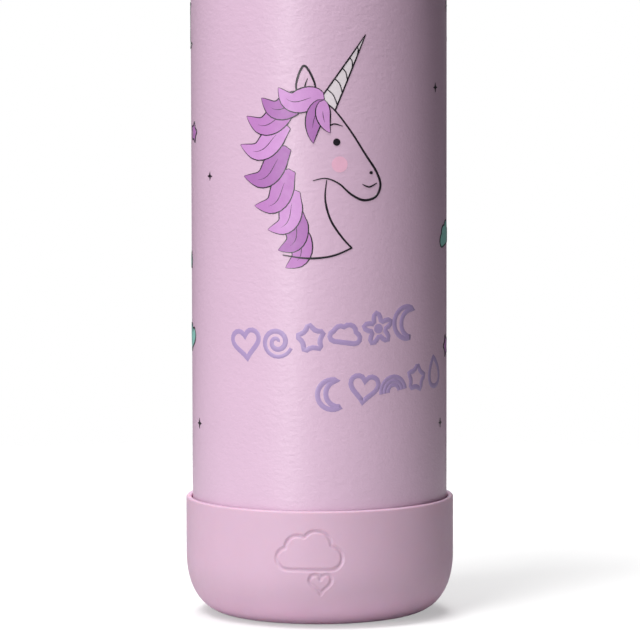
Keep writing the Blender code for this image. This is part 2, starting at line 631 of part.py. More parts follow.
def make_straw():
    straw = [(STRAW_R, STRAW_BOTTOM_Z), (STRAW_R, STRAW_TOP_Z), (STRAW_BORE_R, STRAW_TOP_Z),
             (STRAW_BORE_R, STRAW_BOTTOM_Z)]
    turned("straw", straw, "straw_plastic", (0, SPOUT_Y, 0), closed=True, rounds=SMALL_ROUND)
    top = CORE_FLOOR_Z - GAP
    step = STRAW_TOP_Z + GAP
    straw_seat = STRAW_R + GAP
    spigot_seat = SPIGOT_R + GAP
    adapter = [(straw_seat, ADAPTER_BOTTOM_Z), (ADAPTER_R, ADAPTER_BOTTOM_Z), (ADAPTER_R, top),
               (spigot_seat, top), (spigot_seat, step), (straw_seat, step)]
    turned("straw_adapter", adapter, "clear_silicone", (0, SPOUT_Y, 0), closed=True,
           rounds=SMALL_ROUND)


def headed_pin(name, sign, centre, radius, inner_x, head_r, head_x):
    """A pin along X whose head faces away from the middle of the lid."""
    y, z = centre
    pin = rod(name, "X", radius, (sign * inner_x, y, z), (sign * (head_x[0] + CHAMFER), y, z),
              "bare_steel", rounds=PIN_ROUND)
    join(pin, rod(name + "_head_tool", "X", head_r, (sign * head_x[0], y, z),
                  (sign * head_x[1], y, z), rounds=PIN_ROUND))


def make_handle():
    """A half-round band with an eye at each end, on two headed pins."""
    low = HANDLE_Z - HANDLE_HALF_WIDTH
    high = HANDLE_Z + HANDLE_HALF_WIDTH
    profile = ((HANDLE_IN_R, low), (HANDLE_OUT_R, low), (HANDLE_OUT_R, high), (HANDLE_IN_R, high))
    steps = ROUND // 2
    band = [around(profile, math.pi * i / steps) for i in range(steps + 1)]
    handle = swept("carry_handle", band, "lid_plastic")
    for side, sign in (("left", -1), ("right", 1)):
        join(handle, rod(f"eye_tool_{side}", "X", EYE_R, (sign * EYE_IN_X, 0, HANDLE_Z),
                         (sign * EYE_OUT_X, 0, HANDLE_Z)))
    for side, sign in (("left", -1), ("right", 1)):
        cut(handle, rod(f"eye_bore_tool_{side}", "X", HANDLE_PIN_R + GAP,
                        (sign * (EYE_IN_X - OVERSHOOT), 0, HANDLE_Z),
                        (sign * (HANDLE_OUT_R + OVERSHOOT), 0, HANDLE_Z), rounds=PIN_ROUND))
        cut(handle, rod(f"head_seat_tool_{side}", "X", HANDLE_PIN_HEAD_R + GAP,
                        (sign * PIN_HEAD_SEAT_X, 0, HANDLE_Z),
                        (sign * (HANDLE_OUT_R + 2 * OVERSHOOT), 0, HANDLE_Z), rounds=PIN_ROUND))
        headed_pin(f"handle_pin_{side}", sign, (0, HANDLE_Z), HANDLE_PIN_R, HANDLE_PIN_IN_X,
                   HANDLE_PIN_HEAD_R, (PIN_HEAD_SEAT_X + GAP, EYE_OUT_X - PIN_HEAD_SINK))


def main():
    clear_scene()
    make_boot()
    make_outer_shell()
    make_outer_base()
    make_base_fittings()
    make_liner_base()
    make_inner_liner()
    make_gasket()
    make_lid_core()
    make_vent_valve()
    make_lid_shell()
    make_spout()
    make_mouthpiece()
    make_spout_seal()
    make_straw()
    make_handle()


main()
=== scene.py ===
"""The looks of an insulated bottle for a child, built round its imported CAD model.

The bottle's axis is +Z, its printed front faces -Y, and the boot stands on Z = 0. Shapes are worked
out in millimetres, and MM turns them into metres where the meshes are made. The print is drawn on
the unrolled wall: u runs to the right round the front, and z runs up.
"""

import json
import math

import bmesh
import bpy
import numpy as np
from mathutils import Matrix, Vector


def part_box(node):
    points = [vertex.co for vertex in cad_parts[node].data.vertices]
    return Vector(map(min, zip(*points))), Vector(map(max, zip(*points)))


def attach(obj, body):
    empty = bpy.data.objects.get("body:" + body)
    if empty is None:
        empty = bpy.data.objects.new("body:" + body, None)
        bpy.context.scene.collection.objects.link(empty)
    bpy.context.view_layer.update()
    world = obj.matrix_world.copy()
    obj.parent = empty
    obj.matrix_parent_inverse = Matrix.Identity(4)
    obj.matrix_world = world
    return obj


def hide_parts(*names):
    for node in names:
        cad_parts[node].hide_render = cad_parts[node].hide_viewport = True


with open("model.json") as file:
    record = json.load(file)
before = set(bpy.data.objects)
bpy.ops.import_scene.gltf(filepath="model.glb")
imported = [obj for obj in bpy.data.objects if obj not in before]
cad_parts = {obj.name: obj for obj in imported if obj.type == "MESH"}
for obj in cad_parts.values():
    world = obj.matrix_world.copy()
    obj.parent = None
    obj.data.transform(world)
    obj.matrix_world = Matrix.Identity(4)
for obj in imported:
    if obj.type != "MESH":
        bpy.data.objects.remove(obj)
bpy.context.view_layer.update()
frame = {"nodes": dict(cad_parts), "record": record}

MM = 0.001


def node_box(node):
    """A CAD node's lowest and highest corners, in millimetres."""
    low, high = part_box(node)
    return low / MM, high / MM


def pivot(joint):
    """Where a CAD hinge's axis crosses the bottle's middle plane, as its Y and Z in millimetres."""
    rows = frame["record"]["behaviour"]["joints"]
    place = next(row["pos_m"] for row in rows if row["name"] == joint)
    return place[1] / MM, place[2] / MM


_, BOOT_HIGH = node_box("silicone_boot")
SHELL_LOW, SHELL_HIGH = node_box("outer_shell")
LID_LOW, LID_HIGH = node_box("lid_shell")
_, HANDLE_HIGH = node_box("carry_handle")
_, SPOUT_HIGH = node_box("spout_arm")
SLEEVE_LOW, SLEEVE_HIGH = node_box("mouthpiece")
PIVOT_Y, PIVOT_Z = pivot("spout_flip")
_, HANDLE_Z = pivot("handle_swing")

FRONT = -math.pi / 2
WALL_R = SHELL_HIGH.x
BOOT_R = BOOT_HIGH.x
BOOT_TOP = BOOT_HIGH.z
DECK_Z = LID_HIGH.z


# ==== Making meshes ====

def shade(mesh, sharp_deg):
    """Smooth shading, apart from edges sharper than an angle."""
    mesh.shade_smooth()
    mesh.set_sharp_from_angle(angle=math.radians(sharp_deg))


def mesh_object(name, bm, surface=None, sharp_deg=35):
    """An object from a bmesh in millimetres, shaded smooth up to an angle."""
    bmesh.ops.recalc_face_normals(bm, faces=bm.faces)
    bmesh.ops.scale(bm, vec=(MM, MM, MM), verts=bm.verts)
    mesh = bpy.data.meshes.new(name)
    bm.to_mesh(mesh)
    bm.free()
    shade(mesh, sharp_deg)
    obj = bpy.data.objects.new(name, mesh)
    bpy.context.scene.collection.objects.link(obj)
    if surface:
        mesh.materials.append(surface)
    return obj


def mount(obj, body, slot, *nodes):
    """Puts a piece on a body, in place of some CAD nodes. The slot argument is not used."""
    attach(obj, body)
    if nodes:
        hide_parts(*nodes)
    return obj


def arc(centre, radii, start_deg, end_deg, steps):
    """Points along an ellipse's arc in the (radius, height) plane, both ends included."""
    points = []
    for i in range(steps + 1):
        a = math.radians(start_deg + (end_deg - start_deg) * i / steps)
        points.append((centre[0] + radii[0] * math.cos(a), centre[1] + radii[1] * math.sin(a)))
    return points


def even_angles(count):
    return [2 * math.pi * i / count for i in range(count)]


def bridge(bm, low, high, wrap=True):
    """Faces between two rows of vertices. A row of one vertex is a pole."""
    count = max(len(low), len(high))
    for k in range(count if wrap else count - 1):
        n = (k + 1) % count
        corners = []
        for row, at in ((low, k), (low, n), (high, n), (high, k)):
            corner = row[at] if len(row) > 1 else row[0]
            if corner not in corners:
                corners.append(corner)
        bm.faces.new(corners)


ON_AXIS = 1e-6


def lathe(profile, angles, closed=False):
    """Turns a profile of (radius, height) points about Z. An open profile ends on the axis."""
    bm = bmesh.new()
    rows = []
    for r, z in profile:
        if r < ON_AXIS:
            rows.append([bm.verts.new((0, 0, z))])
        else:
            rows.append([bm.verts.new((r * math.cos(a), r * math.sin(a), z)) for a in angles])
    for low, high in zip(rows, rows[1:] + rows[:1] if closed else rows[1:]):
        bridge(bm, low, high)
    return bm


def sweep(sections, closed=False):
    """Joins a row of closed sections, each a list of points, into one body."""
    bm = bmesh.new()
    rings = [[bm.verts.new(point) for point in section] for section in sections]
    for low, high in zip(rings, rings[1:] + rings[:1] if closed else rings[1:]):
        bridge(bm, low, high)
    if not closed:
        bm.faces.new(rings[0])
        bm.faces.new(rings[-1])
    return bm


def block(low, high):
    bm = bmesh.new()
    bmesh.ops.create_cube(bm, size=1.0)
    bmesh.ops.scale(bm, vec=Vector(high) - Vector(low), verts=bm.verts)
    bmesh.ops.translate(bm, vec=(Vector(high) + Vector(low)) / 2, verts=bm.verts)
    return mesh_object("tool_block", bm)


AXIS_TURN = {
    "X": Matrix.Rotation(math.pi / 2, 3, "Y"),
    "Y": Matrix.Rotation(math.pi / 2, 3, "X"),
}


def bar(axis, radius, start, end, rounds=96):
    """A round bar from start to end, which lie on a line along X or Y."""
    bm = bmesh.new()
    length = (Vector(end) - Vector(start)).length
    bmesh.ops.create_cone(
        bm, cap_ends=True, segments=rounds, radius1=radius, radius2=radius, depth=length
    )
    bmesh.ops.rotate(bm, cent=(0, 0, 0), matrix=AXIS_TURN[axis], verts=bm.verts)
    bmesh.ops.translate(bm, vec=(Vector(start) + Vector(end)) / 2, verts=bm.verts)
    return mesh_object("tool_bar", bm)


def carve(obj, operation, *tools):
    """Joins or cuts tools, and keeps only the result."""
    for tool in tools:
        modifier = obj.modifiers.new("carve", "BOOLEAN")
        modifier.operation = operation
        modifier.solver = "EXACT"
        modifier.object = tool
    bake(obj)
    for tool in tools:
        bpy.data.objects.remove(tool)
    return obj


def bake(obj):
    """Applies an object's modifiers."""
    bpy.context.view_layer.update()
    graph = bpy.context.evaluated_depsgraph_get()
    mesh = bpy.data.meshes.new_from_object(obj.evaluated_get(graph))
    obj.modifiers.clear()
    obj.data = mesh
    return obj


def soften(obj, voxel, passes, kept_share):
    """Rounds every edge as moulding does: an even skin, relaxed a few times, then thinned."""
    skin = obj.modifiers.new("skin", "REMESH")
    skin.mode = "VOXEL"
    skin.voxel_size = voxel * MM
    relax = obj.modifiers.new("relax", "SMOOTH")
    relax.factor = 0.5
    relax.iterations = passes
    thin = obj.modifiers.new("thin", "DECIMATE")
    thin.ratio = kept_share
    bake(obj)
    obj.data.shade_smooth()
    return obj


# ==== Materials ====

class Surface:
    """A Principled material that is built up node by node on object coordinates."""

    def __init__(self, name, colour, roughness, metallic=0.0):
        self.made = bpy.data.materials.new(name)
        self.made.use_nodes = True
        self.tree = self.made.node_tree
        self.shader = self.tree.nodes["Principled BSDF"]
        self.colour = (*colour, 1.0)
        self.shader.inputs["Base Color"].default_value = self.colour
        self.shader.inputs["Roughness"].default_value = roughness
        self.shader.inputs["Metallic"].default_value = metallic
        self.place = self.tree.nodes.new("ShaderNodeTexCoord").outputs["Object"]
        self.colour_from = None
        self.normal_from = None

    def socket(self, **values):
        for name, value in values.items():
            self.shader.inputs[name.replace("_", " ")].default_value = value
        return self

    def noise(self, size_mm, detail=2.0, stretch=(1, 1, 1)):
        """Noise whose features are about size_mm across, stretched along the axes."""
        scaled = self.tree.nodes.new("ShaderNodeMapping")
        scaled.inputs["Scale"].default_value = [1 / s for s in stretch]
        made = self.tree.nodes.new("ShaderNodeTexNoise")
        made.inputs["Scale"].default_value = 1 / (size_mm * MM)
        made.inputs["Detail"].default_value = detail
        self.tree.links.new(self.place, scaled.inputs["Vector"])
        self.tree.links.new(scaled.outputs["Vector"], made.inputs["Vector"])
        return made.outputs["Fac"]

    def ramp(self, source, low, high, at=(0.3, 0.7)):
        """Maps a value to a range, smoothly between two places."""
        made = self.tree.nodes.new("ShaderNodeMapRange")
        made.interpolation_type = "SMOOTHSTEP"
        made.inputs["From Min"].default_value = at[0]
        made.inputs["From Max"].default_value = at[1]
        made.inputs["To Min"].default_value = low
        made.inputs["To Max"].default_value = high
        self.tree.links.new(source, made.inputs["Value"])
        return made.outputs["Result"]

    def height(self):
        """The place's height above the ground, in metres."""
        made = self.tree.nodes.new("ShaderNodeSeparateXYZ")
        self.tree.links.new(self.place, made.inputs["Vector"])
        return made.outputs["Z"]

    def distance(self):
        """The place's distance from the object's origin, in metres."""
        made = self.tree.nodes.new("ShaderNodeVectorMath")
        made.operation = "LENGTH"
        self.tree.links.new(self.place, made.inputs[0])
        return made.outputs["Value"]

    def tint(self, share, colour):
        """Mixes another colour in by a share that changes over the surface."""
        made = self.tree.nodes.new("ShaderNodeMix")
        made.data_type = "RGBA"
        made.inputs["A"].default_value = self.colour
        if self.colour_from:
            self.tree.links.new(self.colour_from, made.inputs["A"])
        made.inputs["B"].default_value = (*colour, 1.0)
        self.tree.links.new(share, made.inputs["Factor"])
        self.colour_from = made.outputs["Result"]
        self.tree.links.new(self.colour_from, self.shader.inputs["Base Color"])
        return self

    def patches(self, size_mm, detail, share, colour, at=(0.3, 0.7)):
        """Soft patches of another colour, about size_mm across and at most share strong."""
        return self.tint(self.ramp(self.noise(size_mm, detail), 0.0, share, at), colour)

    def rough(self, source, low, high):
        self.tree.links.new(self.ramp(source, low, high), self.shader.inputs["Roughness"])
        return self

    def bump(self, source, depth_mm, strength=1.0):
        """Adds relief of a depth on top of the relief so far."""
        made = self.tree.nodes.new("ShaderNodeBump")
        made.inputs["Distance"].default_value = depth_mm * MM
        made.inputs["Strength"].default_value = strength
        self.tree.links.new(source, made.inputs["Height"])
        if self.normal_from:
            self.tree.links.new(self.normal_from, made.inputs["Normal"])
        self.normal_from = made.outputs["Normal"]
        self.tree.links.new(self.normal_from, self.shader.inputs["Normal"])
        return self


def scaled(colour, factor):
    return tuple(min(1.0, c * factor) for c in colour)


PINK_STEEL = (0.625, 0.432, 0.568)
PINK_SILICONE = (0.600, 0.402, 0.525)
# A paler pink, painted on the boot's foot as bounce light from the floor, up to a height.
PINK_PAINTED_BOUNCE = (0.860, 0.530, 0.730)
PAINTED_BOUNCE_HEIGHT = 11 * MM
LILAC_INK = (0.364, 0.260, 0.470)
BLACK_INK = (0.012, 0.009, 0.014)
MANE_INKS = ((0.470, 0.190, 0.490), (0.385, 0.145, 0.415), (0.560, 0.265, 0.580))
TEAL_INK = (0.260, 0.560, 0.510)
CREAM_INK = (0.720, 0.650, 0.690)
BLUSH_INK = (0.760, 0.420, 0.560)


def powder_coat():
    made = Surface("powder_coat", PINK_STEEL, 0.42)
    made.socket(Coat_Weight=0.12, Coat_Roughness=0.3, Specular_IOR_Level=0.5)
    made.patches(14, 3, 0.10, scaled(PINK_STEEL, 0.86))
    made.patches(0.35, 2, 0.10, scaled(PINK_STEEL, 1.25), (0.45, 0.75))
    made.rough(made.noise(1.2, 3), 0.38, 0.48)
    made.bump(made.noise(2.4, 2, (1, 1, 0.55)), 0.10)
    made.bump(made.noise(0.8, 2), 0.055)
    made.bump(made.noise(0.28, 1), 0.018)
    return made.made


def silicone():
    """Matt silicone, with painted bounce light: paler towards its foot, as if lit from the floor.
    """
    made = Surface("boot_silicone", PINK_SILICONE, 0.58)
    made.socket(Subsurface_Weight=0.12, Subsurface_Scale=0.003)
    # Painted bounce light: the boot is tinted paler towards its foot, in place of light from the
    # floor.
    made.tint(made.ramp(made.height(), 0.6, 0.0, (0.0, PAINTED_BOUNCE_HEIGHT)), PINK_PAINTED_BOUNCE)
    made.patches(9, 4, 0.12, scaled(PINK_SILICONE, 0.85))
    made.patches(0.5, 3, 0.06, (0.86, 0.76, 0.82), (0.6, 0.8))
    made.rough(made.noise(2.5, 4), 0.52, 0.66)
    made.bump(made.noise(0.22, 2), 0.012, 0.5)
    return made.made


def moulded_plastic():
    """Spark-eroded moulding: a fine even grain, a little shinier in soft random patches."""
    made = Surface("lid_plastic", PINK_SILICONE, 0.45)
    made.patches(11, 3, 0.10, scaled(PINK_SILICONE, 0.86))
    made.rough(made.noise(6, 3), 0.36, 0.52)
    made.bump(made.noise(0.16, 1), 0.014, 0.6)
    return made.made


def milky_silicone():
    made = Surface("milky_silicone", (0.68, 0.65, 0.69), 0.42)
    made.socket(Subsurface_Weight=0.35, Subsurface_Scale=0.004, Transmission_Weight=0.25)
    made.patches(5, 3, 0.15, (0.62, 0.54, 0.61))
    made.rough(made.noise(1.5, 3), 0.34, 0.5)
    made.bump(made.noise(0.3, 2), 0.01, 0.4)
    return made.made


def turned_steel():
    """Bare steel with fine lines round the axis, from spinning and polishing."""
    made = Surface("turned_steel", (0.66, 0.65, 0.66), 0.26, 1.0)
    made.patches(8, 3, 0.25, (0.52, 0.52, 0.54))
    made.rough(made.noise(0.25, 3, (40, 40, 1)), 0.2, 0.36)
    made.bump(made.noise(0.18, 2, (60, 60, 1)), 0.004, 0.4)
    return made.made


def polished_steel():
    """The pins: satin steel with a very fine, even grain."""
    made = Surface("polished_steel", (0.80, 0.79, 0.80), 0.45, 1.0)
    made.patches(1.6, 3, 0.12, (0.70, 0.69, 0.71))
    made.rough(made.noise(0.8, 3), 0.42, 0.5)
    return made.made


def clear_plastic():
    made = Surface("straw_plastic", (0.90, 0.88, 0.92), 0.12)
    made.socket(Transmission_Weight=0.75, IOR=1.49)
    made.patches(20, 2, 0.2, (0.84, 0.80, 0.88))
    made.rough(made.noise(3, 3), 0.08, 0.2)
    return made.made


def sintered(name, colour, metallic):
    made = Surface(name, colour, 0.6, metallic)
    made.patches(0.5, 3, 0.5, scaled(colour, 0.6))
    made.rough(made.noise(0.4, 3), 0.45, 0.75)
    made.bump(made.noise(0.3, 2), 0.03, 0.6)
    return made.made


def ink(name, colour, roughness=0.42):
    """Screen-printed ink: it follows the powder coat's texture and is a little uneven."""
    made = Surface(name, colour, roughness)
    made.patches(2.2, 4, 0.16, scaled(colour, 0.78))
    made.patches(0.3, 2, 0.14, scaled(colour, 1.35), (0.5, 0.75))
    made.rough(made.noise(1.4, 3), roughness - 0.06, roughness + 0.08)
    made.bump(made.noise(0.7, 2), 0.03, 0.5)
    return made.made


# ==== Drawing on the unrolled wall ====

def smooth_path(points, closed=False, steps=8):
    """A Catmull-Rom curve through given points."""
    path = []
    count = len(points)
    spans = count if closed else count - 1
    for i in range(spans):
        if closed:
            p = [points[(i + k) % count] for k in (-1, 0, 1, 2)]
        else:
            p = [points[min(max(i + k, 0), count - 1)] for k in (-1, 0, 1, 2)]
        for s in range(steps):
            t = s / steps
            path.append(tuple(
                0.5 * (2 * b + (c - a) * t + (2 * a - 5 * b + 4 * c - d) * t * t
                       + (3 * b - a - 3 * c + d) * t ** 3)
                for a, b, c, d in zip(*p)
            ))
    if not closed:
        path.append(points[-1])
    return path


def sides(path):
    """The unit normals along an open path."""
    normals = []
    for i in range(len(path)):
        a = path[max(i - 1, 0)]
        b = path[min(i + 1, len(path) - 1)]
        du, dz = b[0] - a[0], b[1] - a[1]
        length = math.hypot(du, dz) or 1.0
        normals.append((-dz / length, du / length))
    return normals


def on_wall(u, z, lift, radius=WALL_R):
    """A point of the unrolled wall, put round the bottle's front at a height above the steel."""
    angle = FRONT + u / radius
    r = radius + lift
    return (r * math.cos(angle), r * math.sin(angle), z)


class Print:
    """One ink: its strokes and fills, made as a thin raised layer that follows the wall."""

    BURIED = -0.03
    CREST = 0.35
    SHOULDER = 0.7
    STRIP = 0.9
    LOOP_STEP = 0.6

    def __init__(self, name, surface, lift=0.05):
        self.name = name
        self.surface = surface
        self.lift = lift
        self.bm = bmesh.new()

    def section(self, place, normal, width, lift):
        """Four corners across a stroke: its flat top and its two buried edges."""
        lift = self.lift if lift is None else lift
        ring = []
        for share, height in ((-0.5, self.BURIED), (-0.5 * self.SHOULDER, lift),
                              (0.5 * self.SHOULDER, lift), (0.5, self.BURIED)):
            off = width * share
            point = on_wall(place[0] + normal[0] * off, place[1] + normal[1] * off, height)
            ring.append(self.bm.verts.new(point))
        return ring

    def stroke(self, path, width, taper=(1.0, 1.0), lift=None):
        """A brush stroke along an open path. taper is the width's share at its two ends."""
        rings = []
        last = len(path) - 1
        for i, (place, normal) in enumerate(zip(path, sides(path))):
            t = i / last
            share = taper[0] + (1 - taper[0]) * min(1.0, t / self.CREST)
            share *= taper[1] + (1 - taper[1]) * min(1.0, (1 - t) / self.CREST)
            rings.append(self.section(place, normal, width * share, lift))
        for low, high in zip(rings, rings[1:]):
            bridge(self.bm, low, high)
        self.bm.faces.new(rings[0])
        self.bm.faces.new(rings[-1])

    def loop(self, path, width, lift=None):
        """A stroke of even width round a closed path."""
        path = even_steps(path, width * self.LOOP_STEP)
        normals = sides([path[-1], *path, path[0]])[1:-1]
        rings = [self.section(place, normal, width, lift)
                 for place, normal in zip(path, normals)]
        for low, high in zip(rings, rings[1:] + rings[:1]):
            bridge(self.bm, low, high)

    def fill(self, outline, lift=None):
        """A filled shape, cut into upright strips so that it follows the wall's curve."""
        lift = self.lift if lift is None else lift
        flat = bmesh.new()
        flat.faces.new([flat.verts.new((u, 0, z)) for u, z in outline])
        us = [u for u, _ in outline]
        for i in range(math.ceil(min(us) / self.STRIP), math.floor(max(us) / self.STRIP) + 1):
            bmesh.ops.bisect_plane(
                flat, geom=flat.verts[:] + flat.edges[:] + flat.faces[:],
                plane_co=(i * self.STRIP, 0, 0), plane_no=(1, 0, 0),
            )
        bmesh.ops.triangulate(flat, faces=flat.faces)
        layers = []
        for height in (lift, self.BURIED):
            layers.append({
                v: self.bm.verts.new(on_wall(v.co.x, v.co.z, height)) for v in flat.verts
            })
        for face in flat.faces:
            self.bm.faces.new([layers[0][v] for v in face.verts])
            self.bm.faces.new([layers[1][v] for v in reversed(face.verts)])
        for edge in flat.edges:
            if edge.is_boundary:
                a, b = edge.verts
                self.bm.faces.new((layers[0][a], layers[0][b], layers[1][b], layers[1][a]))
        flat.free()

    def done(self):
        obj = mesh_object(self.name, self.bm, self.surface, 50)
        return mount(obj, "flask", "powder_steel")


def even_steps(path, step):
    """A closed path's points again, an even step apart."""
    closed = path + path[:1]
    lengths = [math.dist(a, b) for a, b in zip(closed, closed[1:])]
    count = max(8, round(sum(lengths) / step))
    step = sum(lengths) / count
    made = []
    walked = 0.0
    for (a, b), length in zip(zip(closed, closed[1:]), lengths):
        while len(made) < count and len(made) * step <= walked + length:
            t = (len(made) * step - walked) / (length or 1.0)
            made.append((a[0] + (b[0] - a[0]) * t, a[1] + (b[1] - a[1]) * t))
        walked += length
    return made


def placed(path, centre, size, turn_deg=0.0):
    """A motif's unit path, turned, scaled and moved."""
    a = math.radians(turn_deg)
    return [
        (centre[0] + size * (x * math.cos(a) - y * math.sin(a)),
         centre[1] + size * (x * math.sin(a) + y * math.cos(a)))
        for x, y in path
    ]


def heart_path(steps=36):
    """The well-known heart curve of sines and cosines, scaled to a unit's width."""
    path = []
    for i in range(steps):
        t = 2 * math.pi * i / steps
        y = 13 * math.cos(t) - 5 * math.cos(2 * t) - 2 * math.cos(3 * t) - math.cos(4 * t)
        path.append((math.sin(t) ** 3 / 2, (y + 2.5) / 32))
    return path


def star_path(points=5, inner=0.45):
    path = []
    for i in range(2 * points):
        r = 0.5 if i % 2 == 0 else 0.5 * inner
        a = math.pi / 2 + math.pi * i / points
        path.append((r * math.cos(a), r * math.sin(a)))
    return path


def edged(path, steps=4):
    """A polygon with more points along its straight sides, so that they follow the wall."""
    made = []
    for a, b in zip(path, path[1:] + path[:1]):
        for s in range(steps):
            t = s / steps
            made.append((a[0] + (b[0] - a[0]) * t, a[1] + (b[1] - a[1]) * t))
    return made


def rounded(path, passes=2):
    """A closed path with its corners cut, pass by pass, so that a wide stroke can turn there."""
    for _ in range(passes):
        path = [
            tuple(p + (q - p) * share for p, q in zip(a, b))
            for a, b in zip(path, path[1:] + path[:1]) for share in (0.25, 0.75)
        ]
    return path


def flower_path(petals=5, steps=60):
    path = []
    for i in range(steps):
        t = 2 * math.pi * i / steps
        r = 0.36 + 0.14 * math.cos(petals * t)
        path.append((r * math.sin(t), r * math.cos(t)))
    return path


def cloud_path():
    """A flat-bottomed cloud of four bumps."""
    bumps = ((0.31, -0.10, 0.17, -90, 78), (0.10, 0.08, 0.22, 2, 118),
             (-0.17, 0.04, 0.19, 62, 172), (-0.33, -0.11, 0.16, 100, 270))
    path = []
    for x, y, r, start, end in bumps:
        path += arc((x, y), (r, r), start, end, 9)
    return path


def moon_path():
    outer = arc((0, 0), (0.5, 0.5), 60, 300, 20)
    hollow = arc((0.21, 0), (0.435, 0.435), 275, 85, 16)
    return outer + hollow


def swirl_path(turns=1.9, steps=44):
    path = []
    for i in range(steps + 1):
        t = i / steps
        r = 0.06 + 0.44 * t
        a = 2 * math.pi * turns * t + 0.4
        path.append((r * math.cos(a), r * math.sin(a)))
    return path


def drop_path(steps=28):
    path = []
    for i in range(steps):
        t = 2 * math.pi * i / steps
        path.append((0.3 * math.sin(t) * math.sin(t / 2) * 1.6, 0.5 * math.cos(t)))
    return path


def rainbow_paths():
    return [arc((0, -0.25), (r, r), 0, 180, 18) for r in (0.5, 0.36, 0.22)]


# A plain unicorn's head that faces right. Its points are in millimetres from EMBLEM_CENTRE.
EMBLEM_CENTRE = (-1.0, 124.5)
FACE = ((0.6, 14.6), (4.6, 12.0), (9.2, 6.2), (13.4, -0.2), (16.4, -4.6), (17.6, -8.2),
        (16.2, -11.2), (12.8, -12.0), (9.4, -10.4), (6.2, -7.6), (2.8, -6.2), (-0.6, -6.8))
CHEST = ((3.0, -6.6), (2.6, -11.6), (4.0, -17.0), (7.0, -21.6), (9.6, -24.4))
HEM = ((9.6, -24.4), (4.4, -26.4), (-1.8, -27.0), (-8.6, -26.2))
EAR = ((-4.0, 13.8), (-4.9, 18.2), (-2.8, 23.0), (-0.1, 18.6), (0.2, 14.4))
EAR_FOLD = ((-2.6, 15.6), (-2.6, 17.8), (-1.9, 19.8))
SMILE = ((16.6, -7.6), (14.4, -8.6), (12.4, -7.8))
EYE = ((5.6, 3.2), 1.9)
BROW = ((2.8, 6.6), (4.8, 7.9), (7.2, 7.3))
NOSTRIL = ((14.9, -4.9), 0.9)
CHEEK = ((6.4, -2.6), 4.2)
HORN_BASE = ((1.2, 14.2), (5.2, 11.4))
HORN_TIP = (13.4, 31.0)
HORN_BANDS = 5
CREST_LINE = ((2.4, 14.2), (-3.8, 12.6), (-6.6, 5.6), (-5.4, -3.6), (-3.6, -11.6), (-3.4, -17.6))
MANE_LOCKS = 9
LOCK_LENGTH = 15.5
LOCK_WIDTH = 6.2
LOCK_TURN = (152, 236)
LOCK_STEP = 0.016
LOWEST_LOCK = 0.04
FORELOCK = ((-128, 12.0, 4.6), (-104, 9.0, 3.8))
FORELOCK_BEND = 52
FORELOCK_STEPS = 12


def lock_spine(root, heading_deg, length, steps=16):
    """The middle of a lock of hair: it bends down from its root and flicks out at its tip."""
    path = [root]
    for i in range(steps):
        t = i / steps
        a = math.radians(heading_deg + 58 * math.sin(math.pi * min(1.0, t * 1.35)) - 30 * t)
        u, z = path[-1]
        path.append((u + length / steps * math.cos(a), z + length / steps * math.sin(a)))
    return path


def lock_sides(path, width):
    """A lock's two sides, which swell from a narrow root and run to a point."""
    last = len(path) - 1
    left, right = [], []
    for i, ((u, z), (nu, nz)) in enumerate(zip(path, sides(path))):
        t = i / last
        half = width / 2 * math.sin(math.pi * t ** 0.72) ** 0.8 if 0 < i < last else 0.05
        left.append((u + nu * half, z + nz * half))
        right.append((u - nu * half, z - nz * half))
    return left, right


def draw_lock(black, layer, spine, width, lift):
    left, right = lock_sides(spine, width)
    layer.fill(left + right[::-1], lift)
    edge = lift + LOCK_STEP / 2
    black.stroke(left, 0.42, (0.5, 0.3), edge)
    black.stroke(right, 0.42, (0.5, 0.3), edge)
    black.stroke(spine[4:-4], 0.26, (0.3, 0.2), edge)


def emblem(points, smooth=True):
    moved = [(EMBLEM_CENTRE[0] + x, EMBLEM_CENTRE[1] + z) for x, z in points]
    return smooth_path(moved) if smooth else moved


def draw_mane(black, manes):
    """Overlapping locks down the neck, laid like shingles from the bottom up, and a forelock."""
    crest = emblem(CREST_LINE)
    low, high = LOCK_TURN
    for k in range(MANE_LOCKS):
        t = 1 - k / (MANE_LOCKS - 1)
        root = crest[round(t * (len(crest) - 1))]
        heading = low + (high - low) * t
        spine = lock_spine(root, heading, LOCK_LENGTH * (1 - 0.1 * math.cos(2.2 * math.pi * t)))
        draw_lock(black, manes[k % len(manes)], spine, LOCK_WIDTH, LOWEST_LOCK + LOCK_STEP * k)
    for k, (heading, length, width) in enumerate(FORELOCK):
        spine = [crest[0]]
        step = length / FORELOCK_STEPS
        for i in range(FORELOCK_STEPS):
            a = math.radians(heading + FORELOCK_BEND * i / FORELOCK_STEPS)
            u, z = spine[-1]
            spine.append((u + step * math.cos(a), z + step * math.sin(a)))
        draw_lock(black, manes[(k + 1) % len(manes)], spine, width,
                  LOWEST_LOCK + LOCK_STEP * (MANE_LOCKS + k))


